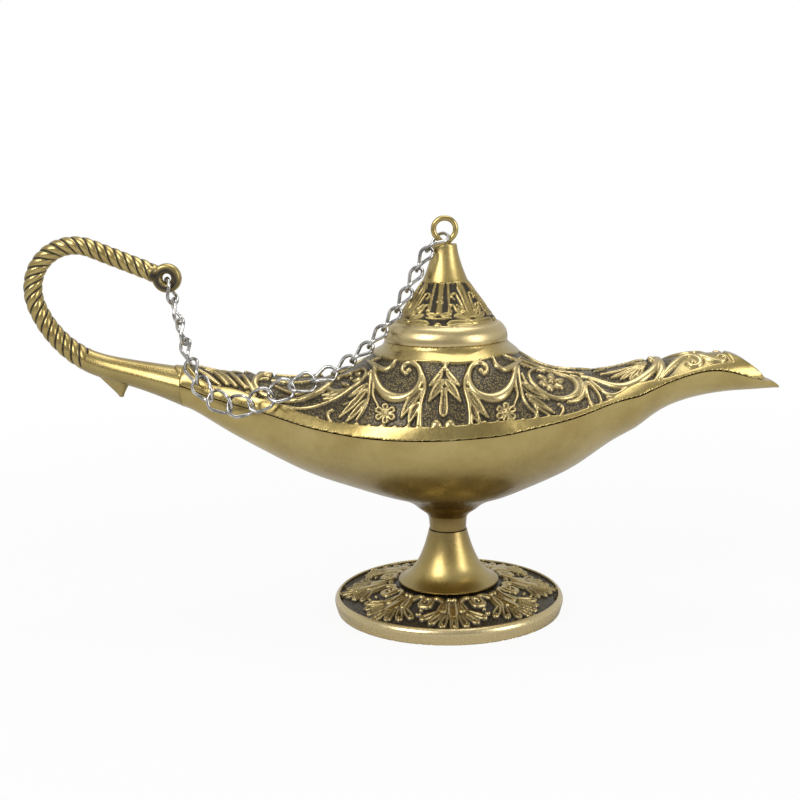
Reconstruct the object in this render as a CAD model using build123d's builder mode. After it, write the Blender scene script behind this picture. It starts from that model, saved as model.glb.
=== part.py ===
from build123d import *
import math
import os

# Genie oil lamp: a boat-shaped body of two cast shells on a pedestal, with a roped handle,
# a conical lid and a chain between the handle's ring and the lid's eye.
# Millimetres. +Z is up, +X points along the spout, and the origin is the centre of the
# base's resting face, under the lid's axis.

os.makedirs("parts", exist_ok=True)

# Base
base_radius = 34.4
base_foot_radius = 33.7
base_rim_height = 4.9
base_rim_widest = 2.5
base_rim_width = 1.8
base_ground_drop = 0.3
base_wall = 2.2
base_seat_height = 8.4
base_seat_margin = 0.5
base_boss_radius = 8.0
base_boss_wall = 2.8
spigot_height = 0.8

# Pedestal
pedestal_foot_radius = 15.04
pedestal_foot_edge = 0.45
pedestal_top_radius = 5.71
pedestal_top_height = 24.3
pedestal_wall = 1.8
pedestal_top_wall = 3.2
pedestal_curve_shares = [(0.48, 0.11), (0.18, 0.53)]

# Stem of the hull and the screw in it
stem_radius = 5.45
stem_taper_share = 1.12
stem_gap = 0.3
stem_fillet = 5.6
screw_radius = 2.0
screw_clearance = 0.05
screw_length = 29.0
screw_head_radius = 3.7
screw_head_height = 2.4
screw_slot_width = 1.0
screw_slot_depth = 1.1
washer_radius = 5.2
washer_thickness = 0.8
pad_radius = 6.5
pad_height = 4.0

# Body: the two shells
body_half_width = 34.0
tail_length = 78.0
spout_length = 96.5
seam_height = 58.3
keel_height = 32.4
deck_height = 71.2
dome_height = 85.4
seam_gap = 0.3
shell_wall = 1.7
tail_solid_length = 16.0
lip_solid_length = 4.5
lip_length = 4.1
mouth_reach = 15.6
mouth_bulge = 0.9

# Neck
neck_radius = 17.95
neck_bore_radius = 15.5
neck_height = 81.5
neck_flare = 2.6
neck_depth = 3.0
neck_hollow_share = 0.33

# Lid
lid_bead_height = 5.1
lid_bead_bulge = 0.75
lid_bead_top_radius = 15.83
lid_cone_radius = 15.3
lid_groove_radius = 6.6
lid_groove_share = 0.62
lid_top_radius = 3.5
lid_top_height = 109.4
lid_top_round = 0.5
lid_wall = 1.7
lid_spigot_depth = 3.6
lid_spigot_clearance = 0.2
lid_spigot_wall = 1.6
lid_cavity_radius = 3.0
lid_cavity_share = 0.806
lid_seat_gap = 0.04
lid_curve_shares = [(0.62, 0.27), (0.12, 0.62)]

# Wire eye on the lid
eye_wire_radius = 0.8
eye_loop_radius = 3.2
eye_loop_height = 4.1
eye_leg_gap = 0.14
eye_bend_radius = 1.1
eye_foot_length = 2.6
eye_hole_clearance = 0.1
eye_foot_clearance = 0.12
eye_round_share = 0.97

# Handle
rope_radius = 2.6
rope_root_radius = 3.35
rope_loop_radius = 13.1
rope_loop_angle = 132.0
rope_back_radius = 30.0
rope_back_angle = 43.0
rope_front_length = 23.9
rope_front_angle = 158.0
rope_stations = 20
rope_swell_power = 6
ring_radius = 2.65
ring_half_thickness = 1.7
ring_section_radius = 1.35
ring_x = -81.6
ring_height = 100.5
thorn_root_radius = 2.3
thorn_tip_radius = 0.7
thorn_tip_x = -96.9
thorn_tip_height = 65.8
thorn_offset = 3.0
thorn_shares = [0, 0.5, 1]
tenon_radius = 1.9
tenon_length = 6.0
tenon_root = 2.5
tenon_angle = 24.0
tenon_clearance = 0.1
joint_gap = 0.05

# Chain
chain_links = 20
chain_wire_radius = 0.5
chain_link_width = 7.0
chain_link_twist = 0.95
chain_play = 0.24
chain_round_share = 0.45
chain_fineness = 4000
chain_pitch_tolerance = 0.0005
ring_hang_drop = 0.72
eye_hang_play = 0.28


# Half widths and heights of the body at stations from the tail to the tip of the lip.
# The first share is of the tail's or the spout's length from the lid's axis.
# The others: half width of its full value; the seam's rise as a share of the full
# half width; the keel's rise and the crown's rise likewise.
tail_station_shares = [
    (1.000, 0.183, 0.324, 0.877, 0.084),
    (0.897, 0.215, 0.241, 0.750, 0.070),
    (0.769, 0.288, 0.165, 0.574, 0.040),
    (0.641, 0.412, 0.103, 0.418, 0.012),
    (0.513, 0.600, 0.047, 0.282, 0.000),
    (0.436, 0.700, 0.024, 0.220, 0.010),
    (0.372, 0.776, 0.010, 0.176, 0.070),
    (0.308, 0.850, 0.001, 0.132, 0.173),
    (0.256, 0.900, -0.003, 0.097, 0.240),
    (0.128, 0.976, -0.006, 0.029, 0.378),
]
spout_station_shares = [
    (0.104, 0.976, 0.015, 0.024, 0.378),
    (0.207, 0.906, 0.044, 0.109, 0.240),
    (0.255, 0.853, 0.065, 0.165, 0.135),
    (0.311, 0.782, 0.088, 0.232, 0.060),
    (0.415, 0.615, 0.144, 0.391, 0.032),
    (0.518, 0.465, 0.218, 0.585, 0.060),
    (0.622, 0.359, 0.303, 0.776, 0.122),
    (0.725, 0.291, 0.400, 0.912, 0.165),
    (0.808, 0.247, 0.424, 0.962, 0.184),
    (0.881, 0.203, 0.376, 0.982, 0.165),
    (0.943, 0.138, 0.329, 0.991, 0.110),
]
tip_shares = (1.000, 0.038, 0.259, 0.997, 0.060)

# The horn of the handle between the rod and the tail: shares of the way along, of the
# drop, of the turn to level, and of the growth in half width, rise and fall.
horn_shares = [
    (0.20, 0.28, 0.35, 0.10, 0.10, 0.10),
    (0.45, 0.52, 0.65, 0.30, 0.30, 0.22),
    (0.65, 0.70, 0.85, 0.52, 0.55, 0.42),
    (0.83, 0.86, 1.00, 0.76, 0.80, 0.70),
]

# The chain's way from the handle's ring to the lid's eye. The first list is in shares of
# the way up from the first point on the body to the ring, the last in shares of the way
# up from the last such point to the eye. The middle list is in shares of the tail's
# length, of the body's half width, and of the half width above the seam's height.
chain_drop_shares = [
    (0.904, 0.962, 0.835),
    (0.784, 0.803, 0.669),
    (0.677, 0.629, 0.483),
    (0.575, 0.439, 0.332),
    (0.479, 0.280, 0.227),
    (0.317, 0.136, 0.111),
]
chain_rest_shares = [
    (-0.832, -0.388, 0.209),
    (-0.755, -0.424, 0.176),
    (-0.668, -0.441, 0.253),
    (-0.571, -0.447, 0.353),
    (-0.505, -0.418, 0.391),
    (-0.436, -0.359, 0.456),
]
chain_rise_shares = [
    (0.159, 0.107, 0.085),
    (0.276, 0.213, 0.172),
    (0.374, 0.320, 0.254),
    (0.497, 0.426, 0.392),
    (0.594, 0.508, 0.500),
    (0.688, 0.607, 0.648),
    (0.782, 0.721, 0.791),
    (0.856, 0.811, 0.899),
]
# How far the chain has twisted at places evenly spaced from the ring to the eye, in
# shares of a half turn: edge on at both ends, with its flat side to the front between.
chain_facing_shares = [0.0, 0.07, 0.20, 0.42, 0.50, 0.50, 0.50, 0.56, 0.70, 0.86, 0.97]

# Half a link's wire, from the middle of one side round an end to the middle of the other:
# shares of the link's half length, of its half width and of its twist.
chain_link_shares = [
    (0.0, -1.0, 0.0),
    (0.5, -1.0, -0.95),
    (1.0, -0.45, -0.75),
    (1.0, 0.45, 0.75),
    (0.5, 1.0, 0.95),
    (0.0, 1.0, 0.0),
]


def station(shares, length, top):
    """Half width, seam, keel and crown of the body at one station."""
    along, width, seam, keel, crown = shares
    return (
        along * length,
        width * body_half_width,
        seam_height + seam * body_half_width,
        keel_height + keel * body_half_width,
        top + crown * body_half_width,
    )


middle_station = (0.0, body_half_width, seam_height, keel_height, dome_height)
tail_stations = [station(s, -tail_length, deck_height) for s in tail_station_shares]
spout_stations = [station(s, spout_length, deck_height) for s in spout_station_shares]
body_stations = tail_stations + [middle_station] + spout_stations
tip_x = tip_shares[0] * spout_length
tip_half_width = tip_shares[1] * body_half_width
tip_seam = seam_height + tip_shares[2] * body_half_width
tip_keel = keel_height + tip_shares[3] * body_half_width
tip_crown = tip_seam + tip_shares[4] * body_half_width
tip_station = (tip_x, tip_half_width, tip_seam, tip_keel, tip_crown)


def bowed_face(x, half_width, chord_height, crown_height):
    """A face across the body at x, between a level chord and the arc that bows from it."""
    with BuildSketch(Plane.YZ.offset(x)) as section:
        with BuildLine():
            ThreePointArc((-half_width, chord_height), (0, crown_height), (half_width, chord_height))
            Line((half_width, chord_height), (-half_width, chord_height))
        make_face()
    return section.sketch


def hollow_stations(stations):
    """The stations that the cavity reaches, short of the solid tail and lip."""
    first = -tail_length + tail_solid_length
    last = spout_length - lip_solid_length
    return [s for s in stations if first < s[0] < last]


# Base plate: a shallow domed disc with a plain rounded rim, hollow underneath.
rim_inner_radius = base_radius - base_rim_width
base_ground_height = base_rim_height - base_ground_drop
base_seat_radius = pedestal_foot_radius + base_seat_margin
pedestal_bore_radius = pedestal_foot_radius - pedestal_wall
boss_bottom = base_seat_height - base_boss_wall
screw_hole_radius = screw_radius + screw_clearance
with BuildPart() as base_plate:
    with BuildSketch(Plane.XZ) as base_profile:
        with BuildLine():
            Polyline(
                (0, base_seat_height),
                (base_seat_radius, base_seat_height),
                (rim_inner_radius - base_ground_drop, base_ground_height),
                (rim_inner_radius, base_rim_height),
            )
            ThreePointArc(
                (rim_inner_radius, base_rim_height),
                (base_radius - base_rim_width / 4, (base_rim_height * 3 + base_rim_widest) / 4),
                (base_radius, base_rim_widest),
            )
            Polyline(
                (base_radius, base_rim_widest),
                (base_foot_radius, 0),
                (base_foot_radius - base_wall, 0),
                (rim_inner_radius - base_wall, base_ground_height - base_wall),
                (base_boss_radius, base_seat_height - base_wall),
                (base_boss_radius, boss_bottom),
                (0, boss_bottom),
                (0, base_seat_height),
            )
        make_face()
    revolve(axis=Axis.Z)
    spigot_radius = pedestal_bore_radius - 2 * pedestal_wall
    with BuildSketch(Plane.XY.offset(base_seat_height)):
        Circle(spigot_radius)
    extrude(amount=spigot_height)
    with BuildSketch(Plane.XY.offset(boss_bottom)):
        Circle(screw_hole_radius)
    extrude(amount=base_boss_wall + spigot_height, mode=Mode.SUBTRACT)
base_plate.part.label = "base_plate"
export_step(base_plate.part, "parts/base_plate.step")


# Pedestal: a smooth trumpet, hollow, with a bored top that the screw clamps to the stem.
def trumpet(foot, top, shares):
    """A curve from a wide foot to a narrow top, bent by two points given in shares."""
    (foot_radius, foot_height), (top_radius, top_height) = foot, top
    bends = [
        (top_radius + out * (foot_radius - top_radius), foot_height + up * (top_height - foot_height))
        for out, up in shares
    ]
    return Bezier(foot, *bends, top)


foot_top = base_seat_height + pedestal_foot_edge
with BuildPart() as pedestal:
    with BuildSketch(Plane.XZ):
        with BuildLine():
            trumpet(
                (pedestal_foot_radius, foot_top),
                (pedestal_top_radius, pedestal_top_height),
                pedestal_curve_shares,
            )
            Polyline(
                (pedestal_top_radius, pedestal_top_height),
                (0, pedestal_top_height),
                (0, base_seat_height),
                (pedestal_foot_radius, base_seat_height),
                (pedestal_foot_radius, foot_top),
            )
        make_face()
    revolve(axis=Axis.Z)
    bore_top = pedestal_top_height - pedestal_top_wall
    bore_top_radius = pedestal_top_radius - pedestal_wall
    with BuildSketch(Plane.XZ):
        with BuildLine():
            trumpet(
                (pedestal_bore_radius, foot_top),
                (bore_top_radius, bore_top),
                pedestal_curve_shares,
            )
            Polyline(
                (bore_top_radius, bore_top),
                (0, bore_top),
                (0, base_seat_height),
                (pedestal_bore_radius, base_seat_height),
                (pedestal_bore_radius, foot_top),
            )
        make_face()
    revolve(axis=Axis.Z, mode=Mode.SUBTRACT)
    with BuildSketch(Plane.XY.offset(base_seat_height)):
        Circle(screw_hole_radius)
    extrude(amount=pedestal_top_height - base_seat_height, mode=Mode.SUBTRACT)
pedestal.part.label = "pedestal"
export_step(pedestal.part, "parts/pedestal.step")

# Screw and washer: they clamp base, pedestal and hull together from below.
washer_bottom = boss_bottom - washer_thickness
with BuildPart() as screw_washer:
    with BuildSketch(Plane.XY.offset(washer_bottom)):
        Circle(washer_radius)
        Circle(screw_hole_radius, mode=Mode.SUBTRACT)
    extrude(amount=washer_thickness)
screw_washer.part.label = "screw_washer"
export_step(screw_washer.part, "parts/screw_washer.step")

head_bottom = washer_bottom - screw_head_height
screw_top = washer_bottom + screw_length
with BuildPart() as base_screw:
    with BuildSketch(Plane.XY.offset(head_bottom)):
        Circle(screw_head_radius)
    extrude(amount=screw_head_height)
    head_edge = base_screw.edges().group_by(Axis.Z)[0]
    fillet(head_edge, radius=screw_head_height / 3)
    with BuildSketch(Plane.XY.offset(washer_bottom)):
        Circle(screw_radius)
    extrude(amount=screw_length)
    chamfer(base_screw.edges().group_by(Axis.Z)[-1], length=screw_radius / 4)
    with BuildSketch(Plane.XY.offset(head_bottom)):
        Rectangle(2 * screw_head_radius, screw_slot_width)
    extrude(amount=screw_slot_depth, mode=Mode.SUBTRACT)
base_screw.part.label = "base_screw"
export_step(base_screw.part, "parts/base_screw.step")

# Lower shell: the smooth hull, from the tail's joint to the tip of the lip, with a stem
# that stands on the pedestal and a threaded pad above it for the screw.
stem_bottom = pedestal_top_height + stem_gap
pad_top = keel_height + shell_wall + pad_height
tenon_height = (tail_stations[0][2] + tail_stations[0][3]) / 2
tenon_lean = math.radians(tenon_angle)
tenon_plane = Plane(
    origin=(-tail_length, 0, tenon_height),
    x_dir=(0, 1, 0),
    z_dir=(math.cos(tenon_lean), 0, -math.sin(tenon_lean)),
)
with BuildPart() as lower_shell:
    lower_outer = [bowed_face(x, w, seam - seam_gap / 2, keel)
                   for x, w, seam, keel, crown in body_stations + [tip_station]]
    loft(sections=lower_outer)
    with BuildSketch(Plane.XY.offset(stem_bottom)):
        Circle(stem_radius)
    with BuildSketch(Plane.XY.offset(keel_height + shell_wall)):
        Circle(stem_radius * stem_taper_share)
    loft()
    stem_edges = lower_shell.edges().filter_by(
        lambda e: e.length > 5 * stem_radius
        and e.bounding_box().size.X < 3 * stem_radius
        and stem_bottom + stem_gap < e.center().Z < pad_top
    )
    fillet(stem_edges, radius=stem_fillet)
    lower_inner = [bowed_face(x, w - shell_wall, seam + seam_gap, keel + shell_wall)
                   for x, w, seam, keel, crown in hollow_stations(body_stations)]
    loft(sections=lower_inner, mode=Mode.SUBTRACT)
    with BuildSketch(Plane.XY.offset(keel_height)):
        Circle(pad_radius)
    extrude(amount=pad_top - keel_height)
    with BuildSketch(Plane.XY.offset(stem_bottom)):
        Circle(screw_hole_radius)
    extrude(amount=screw_top - stem_bottom + screw_radius / 2, mode=Mode.SUBTRACT)
    with BuildSketch(tenon_plane):
        Circle(tenon_radius + tenon_clearance)
    extrude(amount=tenon_length + tenon_clearance, mode=Mode.SUBTRACT)
    with BuildSketch(tenon_plane):
        Circle(tenon_radius + tenon_clearance)
    extrude(amount=-tenon_root, mode=Mode.SUBTRACT)
lower_shell.part.label = "lower_shell"
export_step(lower_shell.part, "parts/lower_shell.step")

# Upper shell: the deck, with the neck that the lid sits in and an open mouth at the spout.
def body_at(x):
    """Half width, seam, keel and crown of the body between two stations."""
    stations = body_stations + [tip_station]
    for before, after in zip(stations, stations[1:]):
        if before[0] <= x <= after[0]:
            part_way = (x - before[0]) / (after[0] - before[0])
            return [a + part_way * (b - a) for a, b in zip(before[1:], after[1:])]


neck_foot_radius = neck_radius + neck_flare
neck_bottom = neck_height - neck_depth
mouth_back_x = spout_length - mouth_reach
mouth_front_x = spout_length - lip_length
mouth_back_height = body_at(mouth_back_x)[3]
mouth_front_height = body_at(mouth_front_x)[1]
with BuildPart() as upper_shell:
    upper_outer = [bowed_face(x, w, seam + seam_gap / 2, crown)
                   for x, w, seam, keel, crown in body_stations + [tip_station]]
    loft(sections=upper_outer)
    upper_inner = [bowed_face(x, w - shell_wall, seam - seam_gap, crown - shell_wall)
                   for x, w, seam, keel, crown in hollow_stations(body_stations)]
    loft(sections=upper_inner, mode=Mode.SUBTRACT)
    with BuildSketch(Plane.XZ):
        with BuildLine():
            ThreePointArc(
                (neck_radius, neck_height),
                (neck_radius + neck_flare * neck_hollow_share, neck_height - neck_depth / 2),
                (neck_foot_radius, neck_bottom),
            )
            Polyline(
                (neck_foot_radius, neck_bottom),
                (0, neck_bottom),
                (0, neck_height),
                (neck_radius, neck_height),
            )
        make_face()
    revolve(axis=Axis.Z)
    with BuildSketch(Plane.XY.offset(neck_height)):
        Circle(neck_foot_radius)
    extrude(amount=dome_height - neck_height + shell_wall, mode=Mode.SUBTRACT)
    with BuildSketch(Plane.XY.offset(deck_height - shell_wall)):
        Circle(neck_bore_radius)
    extrude(amount=dome_height - deck_height + shell_wall, mode=Mode.SUBTRACT)
    mouth_cut_top = mouth_back_height + shell_wall
    mouth_cut_x = spout_length + shell_wall
    with BuildSketch(Plane.XZ):
        with BuildLine():
            ThreePointArc(
                (mouth_back_x, mouth_back_height),
                (
                    (mouth_back_x + mouth_front_x) / 2 + mouth_bulge,
                    (mouth_back_height + mouth_front_height) / 2 + mouth_bulge,
                ),
                (mouth_front_x, mouth_front_height),
            )
            Polyline(
                (mouth_front_x, mouth_front_height),
                (mouth_front_x, tip_keel),
                (mouth_cut_x, tip_keel),
                (mouth_cut_x, mouth_cut_top),
                (mouth_back_x, mouth_cut_top),
                (mouth_back_x, mouth_back_height),
            )
        make_face()
    extrude(amount=body_half_width, both=True, mode=Mode.SUBTRACT)
upper_shell.part.label = "upper_shell"
export_step(upper_shell.part, "parts/upper_shell.step")

# Lid: a hollow cone with a rounded bead, and a spigot that drops into the neck's bore.
lid_bottom = neck_height + lid_seat_gap
bead_top = lid_bottom + lid_bead_height
spigot_outer_radius = neck_bore_radius - lid_spigot_clearance
spigot_inner_radius = spigot_outer_radius - lid_spigot_wall
spigot_bottom = lid_bottom - lid_spigot_depth
cone_run = lid_cone_radius - lid_groove_radius
lid_rise = lid_top_height - neck_height
lid_groove_height = neck_height + lid_groove_share * lid_rise
lid_cavity_height = neck_height + lid_cavity_share * lid_rise
cone_rise = lid_groove_height - bead_top
cone_slant = math.hypot(cone_run, cone_rise)
inset_out = lid_wall * cone_rise / cone_slant
inset_down = lid_wall * cone_run / cone_slant
eye_leg_x = eye_wire_radius + eye_leg_gap / 2
eye_hole_radius = eye_leg_x + eye_wire_radius + eye_hole_clearance
with BuildPart() as lid:
    with BuildSketch(Plane.XZ):
        with BuildLine():
            ThreePointArc(
                (neck_radius, lid_bottom),
                (
                    (neck_radius + lid_bead_top_radius) / 2 + lid_bead_bulge,
                    (lid_bottom + bead_top) / 2 + lid_bead_bulge / 2,
                ),
                (lid_bead_top_radius, bead_top),
            )
            Polyline(
                (lid_bead_top_radius, bead_top),
                (lid_cone_radius, bead_top),
                (lid_groove_radius, lid_groove_height),
            )
            trumpet(
                (lid_groove_radius, lid_groove_height),
                (lid_top_radius, lid_top_height),
                lid_curve_shares,
            )
            Polyline(
                (lid_top_radius, lid_top_height),
                (0, lid_top_height),
                (0, spigot_bottom),
                (spigot_outer_radius, spigot_bottom),
                (spigot_outer_radius, lid_bottom),
                (neck_radius, lid_bottom),
            )
        make_face()
    revolve(axis=Axis.Z)
    fillet(lid.edges().group_by(Axis.Z)[-1], radius=lid_top_round)
    with BuildSketch(Plane.XZ):
        with BuildLine():
            Polyline(
                (0, spigot_bottom),
                (spigot_inner_radius, spigot_bottom),
                (spigot_inner_radius, bead_top - inset_down),
                (lid_groove_radius - inset_out, lid_groove_height - inset_down),
                (lid_cavity_radius, lid_groove_height + lid_wall),
                (lid_cavity_radius, lid_cavity_height),
                (0, lid_cavity_height),
                (0, spigot_bottom),
            )
        make_face()
    revolve(axis=Axis.Z, mode=Mode.SUBTRACT)
    with BuildSketch(Plane.XY.offset(lid_cavity_height)):
        Circle(eye_hole_radius)
    extrude(amount=lid_top_height - lid_cavity_height, mode=Mode.SUBTRACT)
lid.part.label = "lid"
export_step(lid.part, "parts/lid.step")

# Wire eye: one wire, looped above the lid, with two legs down through its top that are
# bent apart under it.
loop_height = lid_top_height + eye_loop_height
leg_top = lid_top_height + eye_wire_radius / 2
leg_to_loop = math.hypot(eye_leg_x, loop_height - leg_top)
leg_lean = math.atan2(loop_height - leg_top, eye_leg_x) + math.asin(eye_loop_radius / leg_to_loop)
side_height = leg_top - (eye_loop_radius - eye_leg_x) * math.tan(leg_lean)
foot_height = lid_cavity_height - eye_wire_radius - eye_foot_clearance
with BuildPart() as lid_eye:
    with BuildLine(Plane.XZ) as eye_path:
        FilletPolyline(
            (-eye_foot_length, foot_height),
            (-eye_leg_x, foot_height),
            (-eye_leg_x, leg_top),
            (-eye_loop_radius, side_height),
            (-eye_loop_radius, loop_height + eye_loop_radius),
            (eye_loop_radius, loop_height + eye_loop_radius),
            (eye_loop_radius, side_height),
            (eye_leg_x, leg_top),
            (eye_leg_x, foot_height),
            (eye_foot_length, foot_height),
            radius=[eye_bend_radius] * 2
            + [eye_loop_radius * eye_round_share] * 4
            + [eye_bend_radius] * 2,
        )
    with BuildSketch(Plane(origin=eye_path.line @ 0, z_dir=eye_path.line % 0)):
        Circle(eye_wire_radius)
    sweep(path=eye_path.line)
lid_eye.part.label = "lid_eye"
export_step(lid_eye.part, "parts/lid_eye.step")


# Handle: a rod that runs from the end ring over the loop to the horn, which swells to the
# tail of the body, with a thorn under it and a tenon into the lower shell.
def rope_point(distance):
    """Where the rod's centre is, and which way it heads, at a distance from the ring."""
    heading = math.radians(rope_front_angle)
    x = ring_x
    z = ring_height
    for length, radius in (
        (rope_front_length, 0),
        (rope_loop_radius * math.radians(rope_loop_angle), rope_loop_radius),
        (rope_back_radius * math.radians(rope_back_angle), rope_back_radius),
    ):
        run = min(distance, length)
        distance -= run
        if radius:
            turned = heading + run / radius
            x += radius * (math.sin(turned) - math.sin(heading))
            z += radius * (math.cos(heading) - math.cos(turned))
            heading = turned
        else:
            x += run * math.cos(heading)
            z += run * math.sin(heading)
    return x + distance * math.cos(heading), z + distance * math.sin(heading), heading


def across(x, z, heading):
    """The plane across the rod at a point: its own x along Y, its own y upward."""
    return Plane(
        origin=(x, 0, z),
        x_dir=(0, 1, 0),
        z_dir=(math.cos(heading), 0, math.sin(heading)),
    )


def lens_face(plane, half_width, rise, fall):
    """A closed face of two arcs, one above and one below the chord across the plane."""
    with BuildSketch(plane) as section:
        with BuildLine():
            ThreePointArc((-half_width, 0), (0, rise), (half_width, 0))
            ThreePointArc((half_width, 0), (0, -fall), (-half_width, 0))
        make_face()
    return section.sketch


rope_length = (
    rope_front_length
    + rope_loop_radius * math.radians(rope_loop_angle)
    + rope_back_radius * math.radians(rope_back_angle)
)
rope_first = ring_radius + ring_section_radius / 6
rope_sections = []
for step in range(rope_stations + 1):
    share = step / rope_stations
    distance = rope_first + share * (rope_length - rope_first)
    x, z, heading = rope_point(distance)
    radius = rope_radius + (rope_root_radius - rope_radius) * share**rope_swell_power
    if step == 0:
        radius = ring_half_thickness
    rope_sections.append(lens_face(across(x, z, heading), radius, radius, radius))
tail_width, tail_seam, tail_keel, tail_crown = body_stations[0][1:]
horn_start_x, horn_start_z, horn_start_heading = rope_point(rope_length)
horn_end_x = -tail_length - joint_gap
horn_sections = [rope_sections[-1]]
for along, drop, turn, width, rise, fall in horn_shares:
    x = horn_start_x + along * (horn_end_x - horn_start_x)
    z = horn_start_z + drop * (tail_seam - horn_start_z)
    heading = (1 - turn) * (horn_start_heading - 2 * math.pi)
    half_width = rope_root_radius + width * (tail_width - rope_root_radius)
    up = rope_root_radius + rise * (tail_crown - tail_seam - rope_root_radius)
    down = rope_root_radius + fall * (tail_seam - tail_keel - rope_root_radius)
    horn_sections.append(lens_face(across(x, z, heading), half_width, up, down))
tail_plane = across(horn_end_x, tail_seam, 0)
horn_sections.append(
    lens_face(tail_plane, tail_width, tail_crown - tail_seam, tail_seam - tail_keel)
)
thorn_root_x, thorn_root_z = rope_point(rope_length + thorn_offset)[:2]
thorn_drop = thorn_tip_height - thorn_root_z
thorn_heading = math.atan2(thorn_drop, thorn_tip_x - thorn_root_x)
ring_centre = (ring_x, 0, ring_height)
with BuildPart() as handle:
    loft(sections=rope_sections)
    loft(sections=horn_sections)
    with BuildSketch(Plane(origin=ring_centre, x_dir=(1, 0, 0), z_dir=(0, 0, 1))):
        with Locations((ring_radius, 0)):
            Ellipse(ring_section_radius, ring_half_thickness)
    revolve(axis=Axis(ring_centre, (0, 1, 0)))
    thorn_sections = []
    for share in thorn_shares:
        x = thorn_root_x + share * (thorn_tip_x - thorn_root_x)
        z = thorn_root_z + share * thorn_drop
        radius = thorn_root_radius + share * (thorn_tip_radius - thorn_root_radius)
        plane = across(x, z, thorn_heading)
        thorn_sections.append(lens_face(plane, radius, radius, radius))
    loft(sections=thorn_sections)
    with Locations((thorn_tip_x, 0, thorn_tip_height)):
        Sphere(thorn_tip_radius)
    for reach in (tenon_length, -tenon_root):
        with BuildSketch(tenon_plane):
            Circle(tenon_radius)
        extrude(amount=reach)
handle.part.label = "handle"
export_step(handle.part, "parts/handle.step")

# Chain: curb links of round wire, each with its ends through its neighbours', from the
# handle's ring down to the body and up to the V at the foot of the lid's wire eye.
eye_lean = math.pi - leg_lean
eye_hang_radius = eye_wire_radius + chain_wire_radius + eye_hang_play
eye_hang_rise = (eye_hang_radius - eye_leg_x * math.sin(eye_lean)) / math.cos(eye_lean)
ring_pivot = (ring_x, 0, ring_height - ring_hang_drop)
eye_pivot = (0, 0, leg_top + eye_hang_rise + chain_wire_radius)
rest_points = [
    (
        along * tail_length,
        aside * body_half_width,
        seam_height + up * body_half_width,
    )
    for along, aside, up in chain_rest_shares
]


def between(low, high, shares):
    """Points between two ends, each coordinate with its own share of the way up."""
    return [
        tuple(a + share * (b - a) for a, b, share in zip(low, high, row))
        for row in shares
    ]


chain_points = (
    [ring_pivot]
    + between(rest_points[0], ring_pivot, chain_drop_shares)
    + rest_points
    + between(rest_points[-1], eye_pivot, chain_rise_shares)
    + [eye_pivot]
)
chain_curve = Spline(*chain_points)
chain_samples = [chain_curve @ (step / chain_fineness) for step in range(chain_fineness + 1)]


def pivots_for(pitch):
    """Points along the chain's way, each one pitch in a straight line from the last."""
    pivots = [chain_samples[0]]
    for sample in chain_samples:
        if (sample - pivots[-1]).length >= pitch and len(pivots) <= chain_links:
            pivots.append(sample)
    return pivots


chain_pitch = 0
pitch_step = chain_curve.length / chain_links
while pitch_step > chain_pitch_tolerance:
    if len(pivots_for(chain_pitch + pitch_step)) > chain_links:
        chain_pitch += pitch_step
    else:
        pitch_step /= 2
chain_pivots = pivots_for(chain_pitch)[:chain_links] + [chain_samples[-1]]

link_half_length = chain_pitch / 2 + chain_wire_radius + chain_play / 2
link_half_width = chain_link_width / 2 - chain_wire_radius
link_points = [
    Vector(along * link_half_length, aside * link_half_width, up * chain_link_twist)
    for along, aside, up in chain_link_shares
]
link_rounds = []
for before, corner, after in zip(link_points, link_points[1:], link_points[2:]):
    turn = math.radians((corner - before).get_angle(after - corner))
    run = min((corner - before).length, (after - corner).length)
    link_rounds.append(chain_round_share * run / math.tan(turn / 2))
with BuildPart() as link_half:
    with BuildLine() as link_path:
        FilletPolyline(*link_points, radius=link_rounds)
    with BuildSketch(Plane(origin=link_path.line @ 0, z_dir=link_path.line % 0)):
        Circle(chain_wire_radius)
    sweep(path=link_path.line)

for number in range(chain_links):
    start = chain_pivots[number]
    end = chain_pivots[number + 1]
    place = (number + 1 / 2) / chain_links * (len(chain_facing_shares) - 1)
    stretch = math.floor(place)
    low_share, high_share = chain_facing_shares[stretch:stretch + 2]
    facing = -math.pi * (low_share + (place - stretch) * (high_share - low_share))
    forward = (end - start).normalized()
    aside = (Vector(0, 1, 0) - forward * forward.Y).normalized()
    width_way = aside * math.cos(facing) + forward.cross(aside) * math.sin(facing)
    link_plane = Plane(
        origin=(start + end) / 2,
        x_dir=forward,
        z_dir=forward.cross(width_way),
    )
    with BuildPart() as chain_link:
        add(link_half.part.moved(link_plane.location))
        add(link_half.part.rotate(Axis.Z, 180).moved(link_plane.location))
    chain_link.part.label = f"chain_link_{number + 1:02d}"
    export_step(chain_link.part, f"parts/chain_link_{number + 1:02d}.step")
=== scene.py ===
import math

import bpy
import numpy as np
from bpy.props import FloatProperty, FloatVectorProperty, IntProperty, PointerProperty
from bpy.types import Operator, Panel, PropertyGroup
from mathutils import Matrix, Vector
from mathutils.bvhtree import BVHTree
from mathutils.kdtree import KDTree


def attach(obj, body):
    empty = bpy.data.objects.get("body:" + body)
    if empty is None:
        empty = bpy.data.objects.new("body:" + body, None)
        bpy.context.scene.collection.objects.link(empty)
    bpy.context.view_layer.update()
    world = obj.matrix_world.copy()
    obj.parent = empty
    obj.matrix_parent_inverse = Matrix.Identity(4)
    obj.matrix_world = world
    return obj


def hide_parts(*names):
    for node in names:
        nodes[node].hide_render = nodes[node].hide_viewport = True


bl_info = {
    "name": "Genie oil lamp",
    "version": (1, 0, 0),
    "blender": (4, 5, 0),
    "location": "3D View > Sidebar > Oil lamp",
    "description": "Cast ornament, roped handle, aged brass and a pale studio for an oil lamp",
    "category": "Add Mesh",
}

MM = 0.001
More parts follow.
